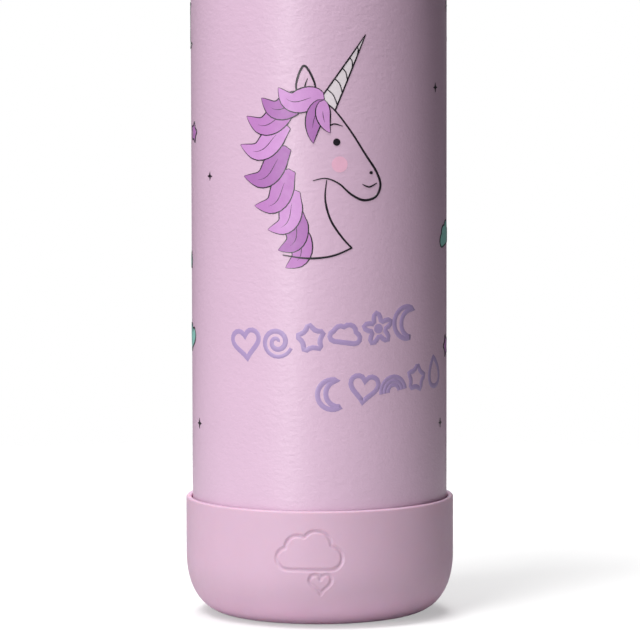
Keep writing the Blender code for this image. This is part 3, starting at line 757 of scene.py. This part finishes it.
def draw_unicorn(black, manes, cream, lilac):
    horn = emblem((*HORN_BASE, HORN_TIP), smooth=False)
    cream.fill(edged(horn, 6))
    lilac.fill(placed(even_circle(), emblem([CHEEK[0]], False)[0], CHEEK[1]), 0.03)
    draw_mane(black, manes)
    for points, width, taper in (
        (FACE, 0.7, (0.5, 0.35)), (CHEST, 0.62, (0.4, 0.8)), (HEM, 0.6, (0.8, 0.4)),
        (EAR, 0.66, (0.6, 0.6)), (EAR_FOLD, 0.4, (0.5, 0.3)), (SMILE, 0.46, (0.4, 0.3)),
        (BROW, 0.42, (0.3, 0.3)),
    ):
        black.stroke(emblem(points), width, taper)
    for spot, size in (EYE, NOSTRIL):
        black.fill(placed(even_circle(), emblem([spot], False)[0], size))
    for base in horn[:2]:
        side = [tuple(b + (t - b) * i / 8 for b, t in zip(base, horn[2])) for i in range(9)]
        black.stroke(side, 0.5, (1.0, 0.5))
    for i in range(1, HORN_BANDS + 1):
        share = i / (HORN_BANDS + 1.2)
        a, b = (tuple(b + (t - b) * s for b, t in zip(base, horn[2]))
                for base, s in zip(horn[:2], (share, share - 0.09)))
        middle = ((a[0] + b[0]) / 2 + 0.3, (a[1] + b[1]) / 2 + 0.5)
        black.stroke(smooth_path([a, middle, b], steps=4), 0.36)


# Rows of motifs: the first one's place, the step to the next, their size, and their names.
DOODLE_WIDTH = 1.5
DOODLE_ROWS = (
    ((-20.4, 74.4), (9.1, 1.1), 8.4, ("heart", "swirl", "star", "cloud", "flower", "moon")),
    ((3.4, 61.9), (8.5, 1.05), 7.9, ("moon", "heart", "rainbow", "star", "drop")),
)


def draw_doodle_rows(lilac):
    """Two slanted rows of plain motifs on the front, below the head."""
    for (u, z), (step, rise), size, names in DOODLE_ROWS:
        for i, name in enumerate(names):
            tilt = 8 * (-1) ** i
            motif(lilac, name, (u + step * i, z + rise * i), size, tilt, DOODLE_WIDTH)


CLOSED_MOTIFS = {
    "heart": heart_path,
    "star": lambda: rounded(star_path(inner=0.5)),
    "star4": lambda: edged(star_path(4, 0.34), 3),
    "cloud": cloud_path,
    "flower": flower_path,
    "moon": moon_path,
    "drop": drop_path,
}


def motif(layer, name, centre, size, turn_deg, width):
    """Draws one motif's outline."""
    if name in CLOSED_MOTIFS:
        layer.loop(placed(CLOSED_MOTIFS[name](), centre, size, turn_deg), width)
    elif name == "swirl":
        layer.stroke(placed(swirl_path(), centre, size, turn_deg), width, (0.6, 0.7))
    else:
        for path in rainbow_paths():
            layer.stroke(placed(path, centre, size, turn_deg), width * 0.8)
    if name == "flower":
        layer.fill(placed([(x * 0.3, y * 0.3) for x, y in even_circle()], centre, size))


def even_circle(steps=18):
    return [(0.5 * math.cos(a), 0.5 * math.sin(a)) for a in even_angles(steps)]


# Motifs round the sides and back: name, how far round the front in mm, height, size, turn, fill.
SCATTER = (
    ("cloud", 46.5, 102.0, 11.0, 8, "teal"), ("star4", 38.0, 141.0, 2.6, 0, "black"),
    ("heart", -48.5, 74.0, 8.0, -14, "teal"), ("moon", -51.0, 157.0, 12.0, 12, "cream"),
    ("star4", -34.0, 118.0, 2.4, 0, "black"), ("star", 47.5, 72.0, 7.0, 16, "mane"),
    ("star4", 41.5, 52.0, 2.6, 0, "black"), ("drop", 58.0, 128.0, 5.0, 10, "teal"),
    ("flower", 59.5, 152.0, 9.5, 0, "mane"), ("star4", 49.0, 162.0, 3.0, 10, "black"),
    ("heart", 63.0, 88.0, 8.5, 12, "mane"), ("star4", 66.0, 112.0, 2.8, 0, "black"),
    ("cloud", 66.0, 54.0, 13.0, -4, "cream"), ("flower", -62.0, 102.0, 9.0, 0, "mane"),
    ("star", -45.0, 129.0, 6.5, -12, "mane"), ("star4", -58.0, 138.0, 3.0, 0, "black"),
    ("cloud", -64.0, 62.0, 12.0, 5, "cream"), ("star4", -41.0, 52.0, 2.8, 0, "black"),
    ("drop", -50.0, 95.0, 4.6, -12, "teal"), ("star4", -66.0, 82.0, 2.6, 0, "black"),
)
BACK_U = math.pi * WALL_R


def draw_scatter(inks):
    for name, u, z, size, turn, tone in SCATTER:
        outline = placed(CLOSED_MOTIFS[name](), (u, z), size, turn)
        if tone == "black":
            inks["black"].fill(outline)
        else:
            inks[tone].fill(outline)
            inks["black"].loop(outline, 0.5)


def draw_back(inks):
    """A rainbow between two clouds, with stars over it, on the side away from the front."""
    centre = (BACK_U, 118.0)
    bands = (("mane", 15.0), ("lilac", 12.6), ("teal", 10.2), ("cream", 7.8))
    for tone, radius in bands:
        path = arc(centre, (radius, radius), 0, 180, 36)
        inks[tone].stroke(path, 2.3)
    for radius in (16.2, 13.8, 11.4, 9.0, 6.6):
        inks["black"].stroke(arc(centre, (radius, radius), 0, 180, 36), 0.45, (0.6, 0.6))
    for side in (-1, 1):
        cloud = placed(cloud_path(), (centre[0] + side * 12.0, centre[1] - 1.5), 17.0)
        inks["cream"].fill(cloud, 0.07)
        inks["black"].loop(cloud, 0.6)
    for u, z, size in ((-9, 22, 5), (2, 27, 7), (12, 21, 4.4), (-2, -16, 5), (9, -22, 4)):
        path = placed(edged(star_path(), 3), (centre[0] + u, centre[1] + z), size, 3 * u)
        inks["mane"].fill(path)
        inks["black"].loop(path, 0.45)


def make_print():
    black = Print("print_outlines", ink("ink_black", BLACK_INK, 0.34), 0.115)
    names = ("print_mane_mid", "print_mane_deep", "print_mane_light")
    manes = [Print(name, ink("ink_" + name[6:], colour))
             for name, colour in zip(names, MANE_INKS)]
    lilac = Print("print_lilac_doodles", ink("ink_lilac", LILAC_INK))
    teal = Print("print_teal", ink("ink_teal", TEAL_INK))
    blush = Print("print_blush", ink("ink_blush", BLUSH_INK))
    cream = Print("print_cream", ink("ink_cream", CREAM_INK))
    inks = {"black": black, "mane": manes[0], "lilac": lilac, "teal": teal, "cream": cream}
    draw_unicorn(black, manes, cream, blush)
    draw_doodle_rows(lilac)
    draw_scatter(inks)
    draw_back(inks)
    for layer in (black, *manes, lilac, teal, cream, blush):
        layer.done()


# ==== The boot ====

BOOT_CORNER = (13.0, 17.0)
BOOT_CORNER_POWER = 2.4
BOOT_WALL = 1.45
LIP_EDGE = 0.5
MARK_DEPTH = 0.34
MARK_WIDTH = 0.8
MARK_CLOUD = ((-2.7, 20.9), 18.0)
MARK_HEART = ((0.2, 12.2), 5.8)
MARK_U = (-14.0, 9.0)
MARK_Z = (8.0, 26.5)
MARK_EDGE = 0.4
FINE = 0.22
COARSE_STEPS = 150
GROOVE_MIDDLE_R = 13.5
GROOVE_SIDE = ((1.7, 0), (1.4, 0.15), (1.0, 0.7), (0.7, 0.8))
BOOT_FLOOR_Z = 2.5
BOOT_INSIDE_CORNER = 10.3


def boot_outer_radius(z):
    """The outer wall's radius at a height: a superellipse at the corner, then straight."""
    if z >= BOOT_CORNER[1]:
        return BOOT_R
    drop = (1 - z / BOOT_CORNER[1]) ** BOOT_CORNER_POWER
    return BOOT_R - BOOT_CORNER[0] * (1 - (1 - drop) ** (1 / BOOT_CORNER_POWER))


def boot_profile():
    """From the middle of the underside, out and up the wall, over the lip and down inside."""
    under = [(0, 0), (6, 0)]
    under += [(GROOVE_MIDDLE_R - off, depth) for off, depth in GROOVE_SIDE]
    under += [(GROOVE_MIDDLE_R + off, depth) for off, depth in reversed(GROOVE_SIDE)]
    under += [(19, 0)]
    low_steps = 22
    turn = math.acos(1 - MARK_Z[0] / BOOT_CORNER[1])
    corner = []
    for i in range(low_steps + 1):
        z = BOOT_CORNER[1] * (1 - math.cos(turn * i / low_steps))
        corner.append((boot_outer_radius(z), z))
    wall_top = BOOT_TOP - LIP_EDGE
    rows = round((wall_top - MARK_Z[0]) / FINE)
    wall = []
    for i in range(1, rows):
        z = MARK_Z[0] + (wall_top - MARK_Z[0]) * i / rows
        wall.append((boot_outer_radius(z), z))
    inner_r = BOOT_R - BOOT_WALL
    rim = arc((BOOT_R - LIP_EDGE, wall_top), (LIP_EDGE,) * 2, 0, 90, 8)
    rim += arc((inner_r + LIP_EDGE, wall_top), (LIP_EDGE,) * 2, 90, 180, 8)
    turn_r = BOOT_INSIDE_CORNER
    inside = arc((inner_r - turn_r, BOOT_FLOOR_Z + turn_r), (turn_r, turn_r), 0, -90, 14)
    return under + corner + wall + rim + inside + [(0, BOOT_FLOOR_Z)]


def boot_angles():
    """Fine steps across the mark, and coarser ones round the rest."""
    low, high = (FRONT + u / BOOT_R for u in MARK_U)
    fine = round((MARK_U[1] - MARK_U[0]) / FINE)
    angles = [low + (high - low) * i / fine for i in range(fine)]
    rest = 2 * math.pi - (high - low)
    return angles + [high + rest * i / COARSE_STEPS for i in range(COARSE_STEPS)]


def distance_to(path, u, z):
    """Distance from points to a closed path of straight pieces."""
    nearest = np.full(u.shape, 1e9)
    for (au, az), (bu, bz) in zip(path, path[1:] + path[:1]):
        du, dz = bu - au, bz - az
        t = np.clip(((u - au) * du + (z - az) * dz) / (du * du + dz * dz + 1e-12), 0, 1)
        nearest = np.minimum(nearest, np.hypot(u - au - t * du, z - az - t * dz))
    return nearest


def press_mark(bm):
    """Presses a plain cloud and heart into the boot's front."""
    paths = [placed(cloud_path(), *MARK_CLOUD), placed(heart_path(), *MARK_HEART)]
    near = [v for v in bm.verts
            if v.co.y < 0 and MARK_Z[0] < v.co.z < MARK_Z[1] and v.co.xy.length > BOOT_R - 5]
    angle = np.array([math.atan2(v.co.y, v.co.x) for v in near])
    outer = np.array([v.co.xy.length > boot_outer_radius(v.co.z) - 0.01 for v in near])
    u = (angle - FRONT) * BOOT_R
    z = np.array([v.co.z for v in near])
    away = np.minimum(distance_to(paths[0], u, z), distance_to(paths[1], u, z))
    edge = np.clip((MARK_WIDTH / 2 + MARK_EDGE / 2 - away) / MARK_EDGE, 0, 1)
    depth = MARK_DEPTH * edge * edge * (3 - 2 * edge) * outer
    for v, d in zip(near, depth):
        r = v.co.xy.length
        v.co.x *= (r - d) / r
        v.co.y *= (r - d) / r


def make_boot():
    bm = lathe(boot_profile(), boot_angles())
    press_mark(bm)
    boot = mesh_object("boot_cup", bm, silicone(), 60)
    mount(boot, "boot", "boot_silicone", "silicone_boot")


# ==== The steel flask ====

SHELL_WALL = 0.6
SHOULDER_Z = 173.0
SHOULDER_RISE = 13.5
SHOULDER_TOP_R = 26.2
NECK_R = 25.6
NECK_BLEND = 0.6
NECK_CHAMFER = 0.2
ROUND = 192


def make_shell():
    """The outer wall: a straight side, a rounded shoulder and a short neck."""
    rise = (WALL_R - SHOULDER_TOP_R, SHOULDER_RISE)
    bottom, top = SHELL_LOW.z, SHELL_HIGH.z
    shoulder_top = SHOULDER_Z + SHOULDER_RISE
    outside = arc((SHOULDER_TOP_R, SHOULDER_Z), rise, 0, 88, 28)
    neck = arc((NECK_R + NECK_BLEND, shoulder_top + NECK_BLEND), (NECK_BLEND,) * 2, 268, 180, 6)
    inner_rise = (rise[0] - SHELL_WALL, rise[1] - SHELL_WALL)
    inside = arc((SHOULDER_TOP_R, SHOULDER_Z), inner_rise, 90, 0, 16)
    inner_neck = NECK_R - SHELL_WALL
    side = [(WALL_R, bottom + (SHOULDER_Z - bottom) * i / 12) for i in range(12)]
    profile = side + outside + neck + [(NECK_R, top - NECK_CHAMFER), (NECK_R - NECK_CHAMFER, top)]
    profile += [(inner_neck, top), (inner_neck, shoulder_top)] + inside
    profile += [(WALL_R - SHELL_WALL, bottom)]
    shell = mesh_object("steel_wall", lathe(profile, even_angles(ROUND), True), powder_coat())
    mount(shell, "flask", "powder_steel", "outer_shell")


# ==== The lid ====

LID_R = 28.0
LID_INNER_R = 26.1
DISC_Z = 203.1
BEAD_TOP_Z = 200.3
BEAD_R = 25.3
SKIRT_EDGE = 0.8
DECK_EDGE = 2.5
DECK_THICK = 1.4
POCKET = ((10.7, -17.5), (17.5, 12.0))
BARREL_R = 6.2
CHANNEL_HALF = 8.5
CHANNEL_BACK_Y = 17.0
CHANNEL_FLOOR = 1.3
WELL_GAP = 1.4
SCOOP = (14.0, 21.5, 8.0)
EYE_R = 5.2
GUARD_R = 8.2
GUARD_X = (26.4, 32.6)
GUARD_GAP = 0.4
GUARD_TOP_Z = 210.4
LID_VOXEL = 0.26
LID_RELAX_PASSES = 5
LID_KEPT_SHARE = 0.3
BAND_HALF = 4.0
PIN_R = 2.0
PIN_BORE_X = (19.5, 29.0)
SPOUT_PIN_R = 1.6
SPOUT_PIN_BORE_X = (7.5, 11.7)
BORE_GAP = 0.3
CLEAR = 1.0


def make_lid_shell(plastic):
    """The cap: a skirt that snaps on by a bead, a deck with the spout's channel, and the guards."""
    bottom = LID_LOW.z
    profile = [
        (0, DISC_Z), (LID_INNER_R, DISC_Z), (LID_INNER_R, BEAD_TOP_Z + 0.1),
        (BEAD_R, BEAD_TOP_Z - 0.3), (BEAD_R, BEAD_TOP_Z - 0.7), (LID_INNER_R, BEAD_TOP_Z - 1.5),
        (LID_INNER_R, bottom + 0.3), (LID_INNER_R + 0.3, bottom),
    ]
    profile += arc((LID_R - SKIRT_EDGE, bottom + SKIRT_EDGE), (SKIRT_EDGE,) * 2, -90, 0, 6)
    profile += arc((LID_R - DECK_EDGE, DECK_Z - DECK_EDGE), (DECK_EDGE,) * 2, 0, 90, 12)
    lid = mesh_object("lid_cap", lathe(profile + [(0, DECK_Z)], even_angles(ROUND)), plastic)
    front = PIVOT_Y - BARREL_R - WELL_GAP
    well_back = PIVOT_Y + BARREL_R + WELL_GAP
    above = DECK_Z + 6
    scoop_r, scoop_y, scoop_rise = SCOOP
    scoop_half = CHANNEL_HALF - 0.5
    carve(lid, "DIFFERENCE",
          block((-CHANNEL_HALF, front, DISC_Z + CHANNEL_FLOOR),
                (CHANNEL_HALF, CHANNEL_BACK_Y, above)),
          block((-CHANNEL_HALF, front, DISC_Z - CLEAR), (CHANNEL_HALF, well_back, above - CLEAR)),
          bar("X", scoop_r, (-scoop_half, scoop_y, DECK_Z + scoop_rise),
              (scoop_half, scoop_y, DECK_Z + scoop_rise)))
    low, high = POCKET
    for sign in (-1, 1):
        carve(lid, "UNION", guard(sign))
        carve(lid, "DIFFERENCE",
              block(*x_span(sign, (*low, DISC_Z - CLEAR), (*high, DECK_Z - DECK_THICK))),
              x_bar(PIN_R + BORE_GAP, sign, PIN_BORE_X, 0, HANDLE_Z, 48),
              x_bar(SPOUT_PIN_R + BORE_GAP, sign, SPOUT_PIN_BORE_X, PIVOT_Y, PIVOT_Z, 32))
    soften(lid, LID_VOXEL, LID_RELAX_PASSES, LID_KEPT_SHARE)
    mount(lid, "lid", "lid_plastic", "lid_shell")


def x_span(sign, low, high):
    """A block's corners, mirrored to the side of X that sign gives."""
    near, far = sorted((sign * low[0], sign * high[0]))
    return (near, *low[1:]), (far, *high[1:])


def x_bar(radius, sign, reach, y, z, rounds=96):
    """A round bar along X between two distances from the middle, on the side that sign gives."""
    return bar("X", radius, (sign * reach[0], y, z), (sign * reach[1], y, z), rounds)


def guard(sign):
    """The C-shaped boss round a handle eye, open where the handle swings, with a blunt tip."""
    near, far = GUARD_X
    boss = x_bar(GUARD_R, sign, GUARD_X, 0, HANDLE_Z)
    edge = -BAND_HALF - GUARD_GAP
    past = GUARD_R + CLEAR
    swing = block(*x_span(sign, (near - CLEAR, edge, HANDLE_Z + edge),
                          (far + CLEAR, past, HANDLE_Z + past)))
    eye = x_bar(EYE_R + GUARD_GAP, sign, (near - 2 * CLEAR, far + 2 * CLEAR), 0, HANDLE_Z)
    tip = block(*x_span(sign, (near - CLEAR, -GUARD_R, GUARD_TOP_Z),
                        (far + CLEAR, 0, GUARD_TOP_Z + GUARD_R)))
    return carve(boss, "DIFFERENCE", swing, eye, tip)


BAND_INNER_R = 31.6
BAND_CORNER = 0.9
BAND_STEPS = 72
EYE_RIM = 0.8
EYE_BORE_X = (27.0, 36.0)
PIN_RECESS_R = 3.7
PIN_RECESS_X = (33.2, 37.0)


def make_handle(plastic):
    """A band with a soft rounded section, and a round eye at each end."""
    middle_r = (BAND_INNER_R + HANDLE_HIGH.x) / 2
    half = (HANDLE_HIGH.x - BAND_INNER_R) / 2
    corner = BAND_CORNER
    section = []
    for cx, cz, start in ((half - corner, BAND_HALF - corner, 0),
                          (corner - half, BAND_HALF - corner, 90),
                          (corner - half, corner - BAND_HALF, 180),
                          (half - corner, corner - BAND_HALF, 270)):
        section += arc((cx, cz), (corner, corner), start, start + 90, 5)
    rings = []
    for i in range(BAND_STEPS + 1):
        a = math.pi * i / BAND_STEPS
        rings.append([((middle_r + x) * math.cos(a), (middle_r + x) * math.sin(a), HANDLE_Z + z)
                      for x, z in section])
    handle = mesh_object("swing_handle", sweep(rings), plastic)
    for sign in (-1, 1):
        carve(handle, "UNION", eye_disc(sign))
        carve(handle, "DIFFERENCE",
              x_bar(PIN_R + BORE_GAP, sign, EYE_BORE_X, 0, HANDLE_Z, 48),
              x_bar(PIN_RECESS_R, sign, PIN_RECESS_X, 0, HANDLE_Z, 64))
    shade(handle.data, 40)
    mount(handle, "handle", "lid_plastic", "carry_handle")


def eye_disc(sign):
    """A handle eye: a short drum along X with rounded rims."""
    rim = EYE_RIM
    inner_x, outer_x = LID_R + GUARD_GAP, HANDLE_HIGH.x - 0.1
    profile = [(0, inner_x)] + arc((EYE_R - rim, inner_x + rim), (rim, rim), -90, 0, 5)
    profile += arc((EYE_R - rim, outer_x - rim), (rim, rim), 0, 90, 5) + [(0, outer_x)]
    return along_x("eye", profile, sign, 0, HANDLE_Z)


def along_x(name, profile, sign, y, z, surface=None, rounds=96):
    """A turned shape with its axis along X. The profile's heights are distances from X = 0."""
    bm = lathe(profile, even_angles(rounds))
    for v in bm.verts:
        v.co = (sign * v.co.z, v.co.x + y, v.co.y + z)
    return mesh_object(name, bm, surface)


# Outlines of the pins, from the inner end to the head, as (radius, distance from X = 0).
HANDLE_PIN = (
    (0, 20), (1.6, 20), (PIN_R, 20.4), (PIN_R, 33.5), (3.0, 33.5), (3.4, 33.8), (3.4, 34.2),
    *arc((2.6, 34.2), (0.8, 0.5), 0, 90, 6), (0, 34.7),
)
SPOUT_PIN = (
    (0, 5.2), (1.3, 5.2), (SPOUT_PIN_R, 5.5), (SPOUT_PIN_R, 11.0), (1.9, 11.0), (2.0, 11.2),
    (2.0, 12.0), (1.8, 12.2), (0, 12.2),
)


def make_pins(steel):
    """Headed pins: two for the handle and two for the spout."""
    for side, sign in (("left", -1), ("right", 1)):
        pin = along_x(f"handle_rivet_{side}", HANDLE_PIN, sign, 0, HANDLE_Z, steel)
        mount(pin, "lid", "bare_steel", f"handle_pin_{side}")
        pin = along_x(f"spout_axle_{side}", SPOUT_PIN, sign, PIVOT_Y, PIVOT_Z, steel, 48)
        mount(pin, "lid", "bare_steel", f"spout_pin_{side}")


BARREL_RIM = 0.7
BARREL_BORE_X = (4.8, 9.0)
ARM_HALF = (6.0, 3.8)
ARM_SECTIONS = ((PIVOT_Y, 0), (1.9, 0), (2.3, 0.15), (2.5, 0.5))
NIPPLE_R = 3.5
NIPPLE_Y = (1.5, 10.5)
PASSAGE_R = 2.3


def make_spout(plastic):
    """The barrel on its pins, the flat arm, and the nipple under the mouthpiece."""
    barrel_half = SPOUT_HIGH.x
    rim = BARREL_RIM
    profile = [(0, -barrel_half)]
    profile += arc((BARREL_R - rim, rim - barrel_half), (rim, rim), -90, 0, 5)
    profile += arc((BARREL_R - rim, barrel_half - rim), (rim, rim), 0, 90, 5)
    spout = along_x("flip_spout", profile + [(0, barrel_half)], 1, PIVOT_Y, PIVOT_Z, plastic)
    arm = sweep([oval_ring(y, ARM_HALF[0] - back, ARM_HALF[1] - back, 5.0)
                 for y, back in ARM_SECTIONS])
    root, tip = NIPPLE_Y
    front = PIVOT_Y - BARREL_R - CLEAR
    nipple = bar("Y", NIPPLE_R, (0, root, PIVOT_Z), (0, tip, PIVOT_Z))
    carve(spout, "UNION", mesh_object("tool_arm", arm), nipple)
    carve(spout, "DIFFERENCE",
          bar("Y", PASSAGE_R, (0, front, PIVOT_Z), (0, tip + CLEAR, PIVOT_Z), 48),
          *[x_bar(SPOUT_PIN_R + BORE_GAP, sign, BARREL_BORE_X, PIVOT_Y, PIVOT_Z, 32)
            for sign in (-1, 1)])
    shade(spout.data, 32)
    mount(spout, "spout", "lid_plastic", "spout_arm")


def oval_ring(y, half_width, half_thick, power=2.0, count=64):
    """A superellipse across the spout's length, at one place along it."""
    ring = []
    for a in even_angles(count):
        c, s = math.cos(a), math.sin(a)
        x = half_width * math.copysign(abs(c) ** (2 / power), c)
        z = half_thick * math.copysign(abs(s) ** (2 / power), s)
        ring.append((x, y, PIVOT_Z + z))
    return ring


# How the sleeve's width changes along it, as (share of its length, share of its half width).
SLEEVE_OUTLINE = (
    (0.0, 0.86), (0.03, 0.97), (0.07, 1.0), (0.13, 1.0), (0.17, 0.97), (0.2, 0.88),
    (0.25, 0.83), (0.35, 0.82), (0.5, 0.86), (0.64, 0.93), (0.74, 0.98), (0.82, 1.0),
    (0.9, 0.98), (0.95, 0.92), (0.985, 0.82), (1.0, 0.66),
)
SLEEVE_HALF = (6.5, 4.5)
SLEEVE_POWER = 2.4


def make_mouthpiece(rubber):
    """A soft sleeve that swells at its bite end, with a fold ring at its root."""
    start, tip = SLEEVE_LOW.y, SLEEVE_HIGH.y
    wide, thick = SLEEVE_HALF
    rings = [oval_ring(start + (tip - start) * t, wide * share, thick * share, SLEEVE_POWER)
             for t, share in SLEEVE_OUTLINE]
    for y, half_width, half_thick in ((tip - 0.05, 2.2, 1.7), (tip - 0.4, 1.7, 1.6),
                                      (11.0, 1.6, 1.6), (10.8, 3.8, 3.8), (start, 3.8, 3.8)):
        rings.append(oval_ring(y, half_width, half_thick))
    sleeve = mesh_object("bite_sleeve", sweep(rings, closed=True), rubber, 50)
    mount(sleeve, "spout", "clear_silicone", "mouthpiece")


# ==== The parts inside, which keep their CAD shapes ====

WELD_DISTANCE = 0.002 * MM
CAD_SHARP_DEG = 35


def finish_cad_nodes(surfaces):
    """Gives every CAD node that stays a material, and smooth shading across its facets."""
    slots = {row["node"]: row["material_slot"] for row in frame["record"]["subparts"]}
    for name, obj in frame["nodes"].items():
        if obj.hide_render:
            continue
        obj.data.materials.clear()
        obj.data.materials.append(surfaces[slots[name]])
        weld = obj.modifiers.new("weld", "WELD")
        weld.merge_threshold = WELD_DISTANCE
        smooth = obj.modifiers.new("edges", "EDGE_SPLIT")
        smooth.split_angle = math.radians(CAD_SHARP_DEG)
        obj.data.shade_smooth()


# ==== The studio ====

FLOOR_R = 400
FLOOR_SHARE = 0.6
FLOOR_FADE = (0.6 * FLOOR_R * MM, FLOOR_R * MM)


def make_floor():
    """A pale disc that fades into the white world. It stays under the boot in every pose."""
    bm = bmesh.new()
    bmesh.ops.create_circle(bm, cap_ends=True, segments=ROUND, radius=FLOOR_R)
    made = Surface("studio_floor", (0.9, 0.9, 0.9), 0.9)
    made.socket(Specular_IOR_Level=0.0)
    made.tree.links.new(
        made.ramp(made.distance(), FLOOR_SHARE, 0.0, FLOOR_FADE),
        made.shader.inputs["Alpha"],
    )
    made.patches(90, 2, 0.04, (0.84, 0.84, 0.85))
    floor = mesh_object("studio_floor", bm, made.made)
    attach(floor, "boot")


def area_light(name, azimuth_deg, elevation_deg, distance, size, power):
    """A softbox aimed at the bottle's middle. Azimuth 0 is in front, and turns to the right."""
    made = bpy.data.lights.new(name, "AREA")
    made.shape = "RECTANGLE"
    made.size, made.size_y = size
    made.energy = power
    a, e = math.radians(azimuth_deg), math.radians(elevation_deg)
    place = AIM + distance * Vector((math.sin(a) * math.cos(e), -math.cos(a) * math.cos(e),
                                     math.sin(e)))
    obj = bpy.data.objects.new(name, made)
    bpy.context.scene.collection.objects.link(obj)
    obj.location = place
    obj.rotation_euler = (AIM - place).to_track_quat("-Z", "Y").to_euler()


# Name, azimuth and elevation in degrees, distance and size in metres, and power in watts.
LIGHTS = (
    ("key", -27, 15, 1.5, (0.5, 1.5), 17.5),
    ("top_left", -46, 62, 1.4, (0.5, 0.5), 14.5),
    ("overhead", 0, 89, 1.5, (0.7, 0.7), 12.5),
    ("behind", 180, 18, 1.5, (2.0, 1.0), 2),
    ("back_fill", 180, 50, 1.5, (0.5, 0.8), 9),
)
AIM = Vector((0, 0, 0.11))
WORLD_COLOUR = (1.0, 0.86, 0.93, 1.0)
WORLD_STRENGTH = 0.02


def make_light():
    """Softboxes, and a world that lights the bottle faintly and looks white to the camera."""
    for light in LIGHTS:
        area_light(*light)
    world = bpy.data.worlds.new("studio")
    world.use_nodes = True
    tree = world.node_tree
    lit = tree.nodes["Background"]
    lit.inputs["Color"].default_value = WORLD_COLOUR
    lit.inputs["Strength"].default_value = WORLD_STRENGTH
    seen = tree.nodes.new("ShaderNodeBackground")
    seen.inputs["Color"].default_value = (1, 1, 1, 1)
    pick = tree.nodes.new("ShaderNodeMixShader")
    tree.links.new(tree.nodes.new("ShaderNodeLightPath").outputs["Is Camera Ray"],
                   pick.inputs["Fac"])
    tree.links.new(lit.outputs["Background"], pick.inputs[1])
    tree.links.new(seen.outputs["Background"], pick.inputs[2])
    tree.links.new(pick.outputs["Shader"], tree.nodes["World Output"].inputs["Surface"])
    bpy.context.scene.world = world
    bpy.context.scene.view_settings.view_transform = "Standard"


CAMERA_AT = (0.00018, -1.256, 0.1948)
CAMERA_DOWN_DEG = 5.30
CAMERA_ROLL_DEG = -0.123
LENS = 265.5


def make_camera():
    made = bpy.data.cameras.new("camera")
    made.lens = LENS
    made.clip_end = 60
    obj = bpy.data.objects.new("camera", made)
    bpy.context.scene.collection.objects.link(obj)
    tilt = Matrix.Rotation(math.radians(90 - CAMERA_DOWN_DEG), 4, "X")
    roll = Matrix.Rotation(math.radians(CAMERA_ROLL_DEG), 4, "Z")
    obj.matrix_world = Matrix.Translation(CAMERA_AT) @ tilt @ roll
    bpy.context.scene.camera = obj


def main():
    make_camera()
    make_light()
    make_floor()
    plastic = moulded_plastic()
    rubber = milky_silicone()
    steel = turned_steel()
    make_boot()
    make_shell()
    make_print()
    make_lid_shell(plastic)
    make_handle(plastic)
    make_pins(polished_steel())
    make_spout(plastic)
    make_mouthpiece(rubber)
    finish_cad_nodes({
        "bare_steel": steel,
        "lid_plastic": plastic,
        "clear_silicone": rubber,
        "straw_plastic": clear_plastic(),
        "getter_metal": sintered("getter_metal", (0.35, 0.34, 0.33), 0.8),
        "seal_glass": sintered("seal_glass", (0.25, 0.27, 0.30), 0.0),
    })


main()
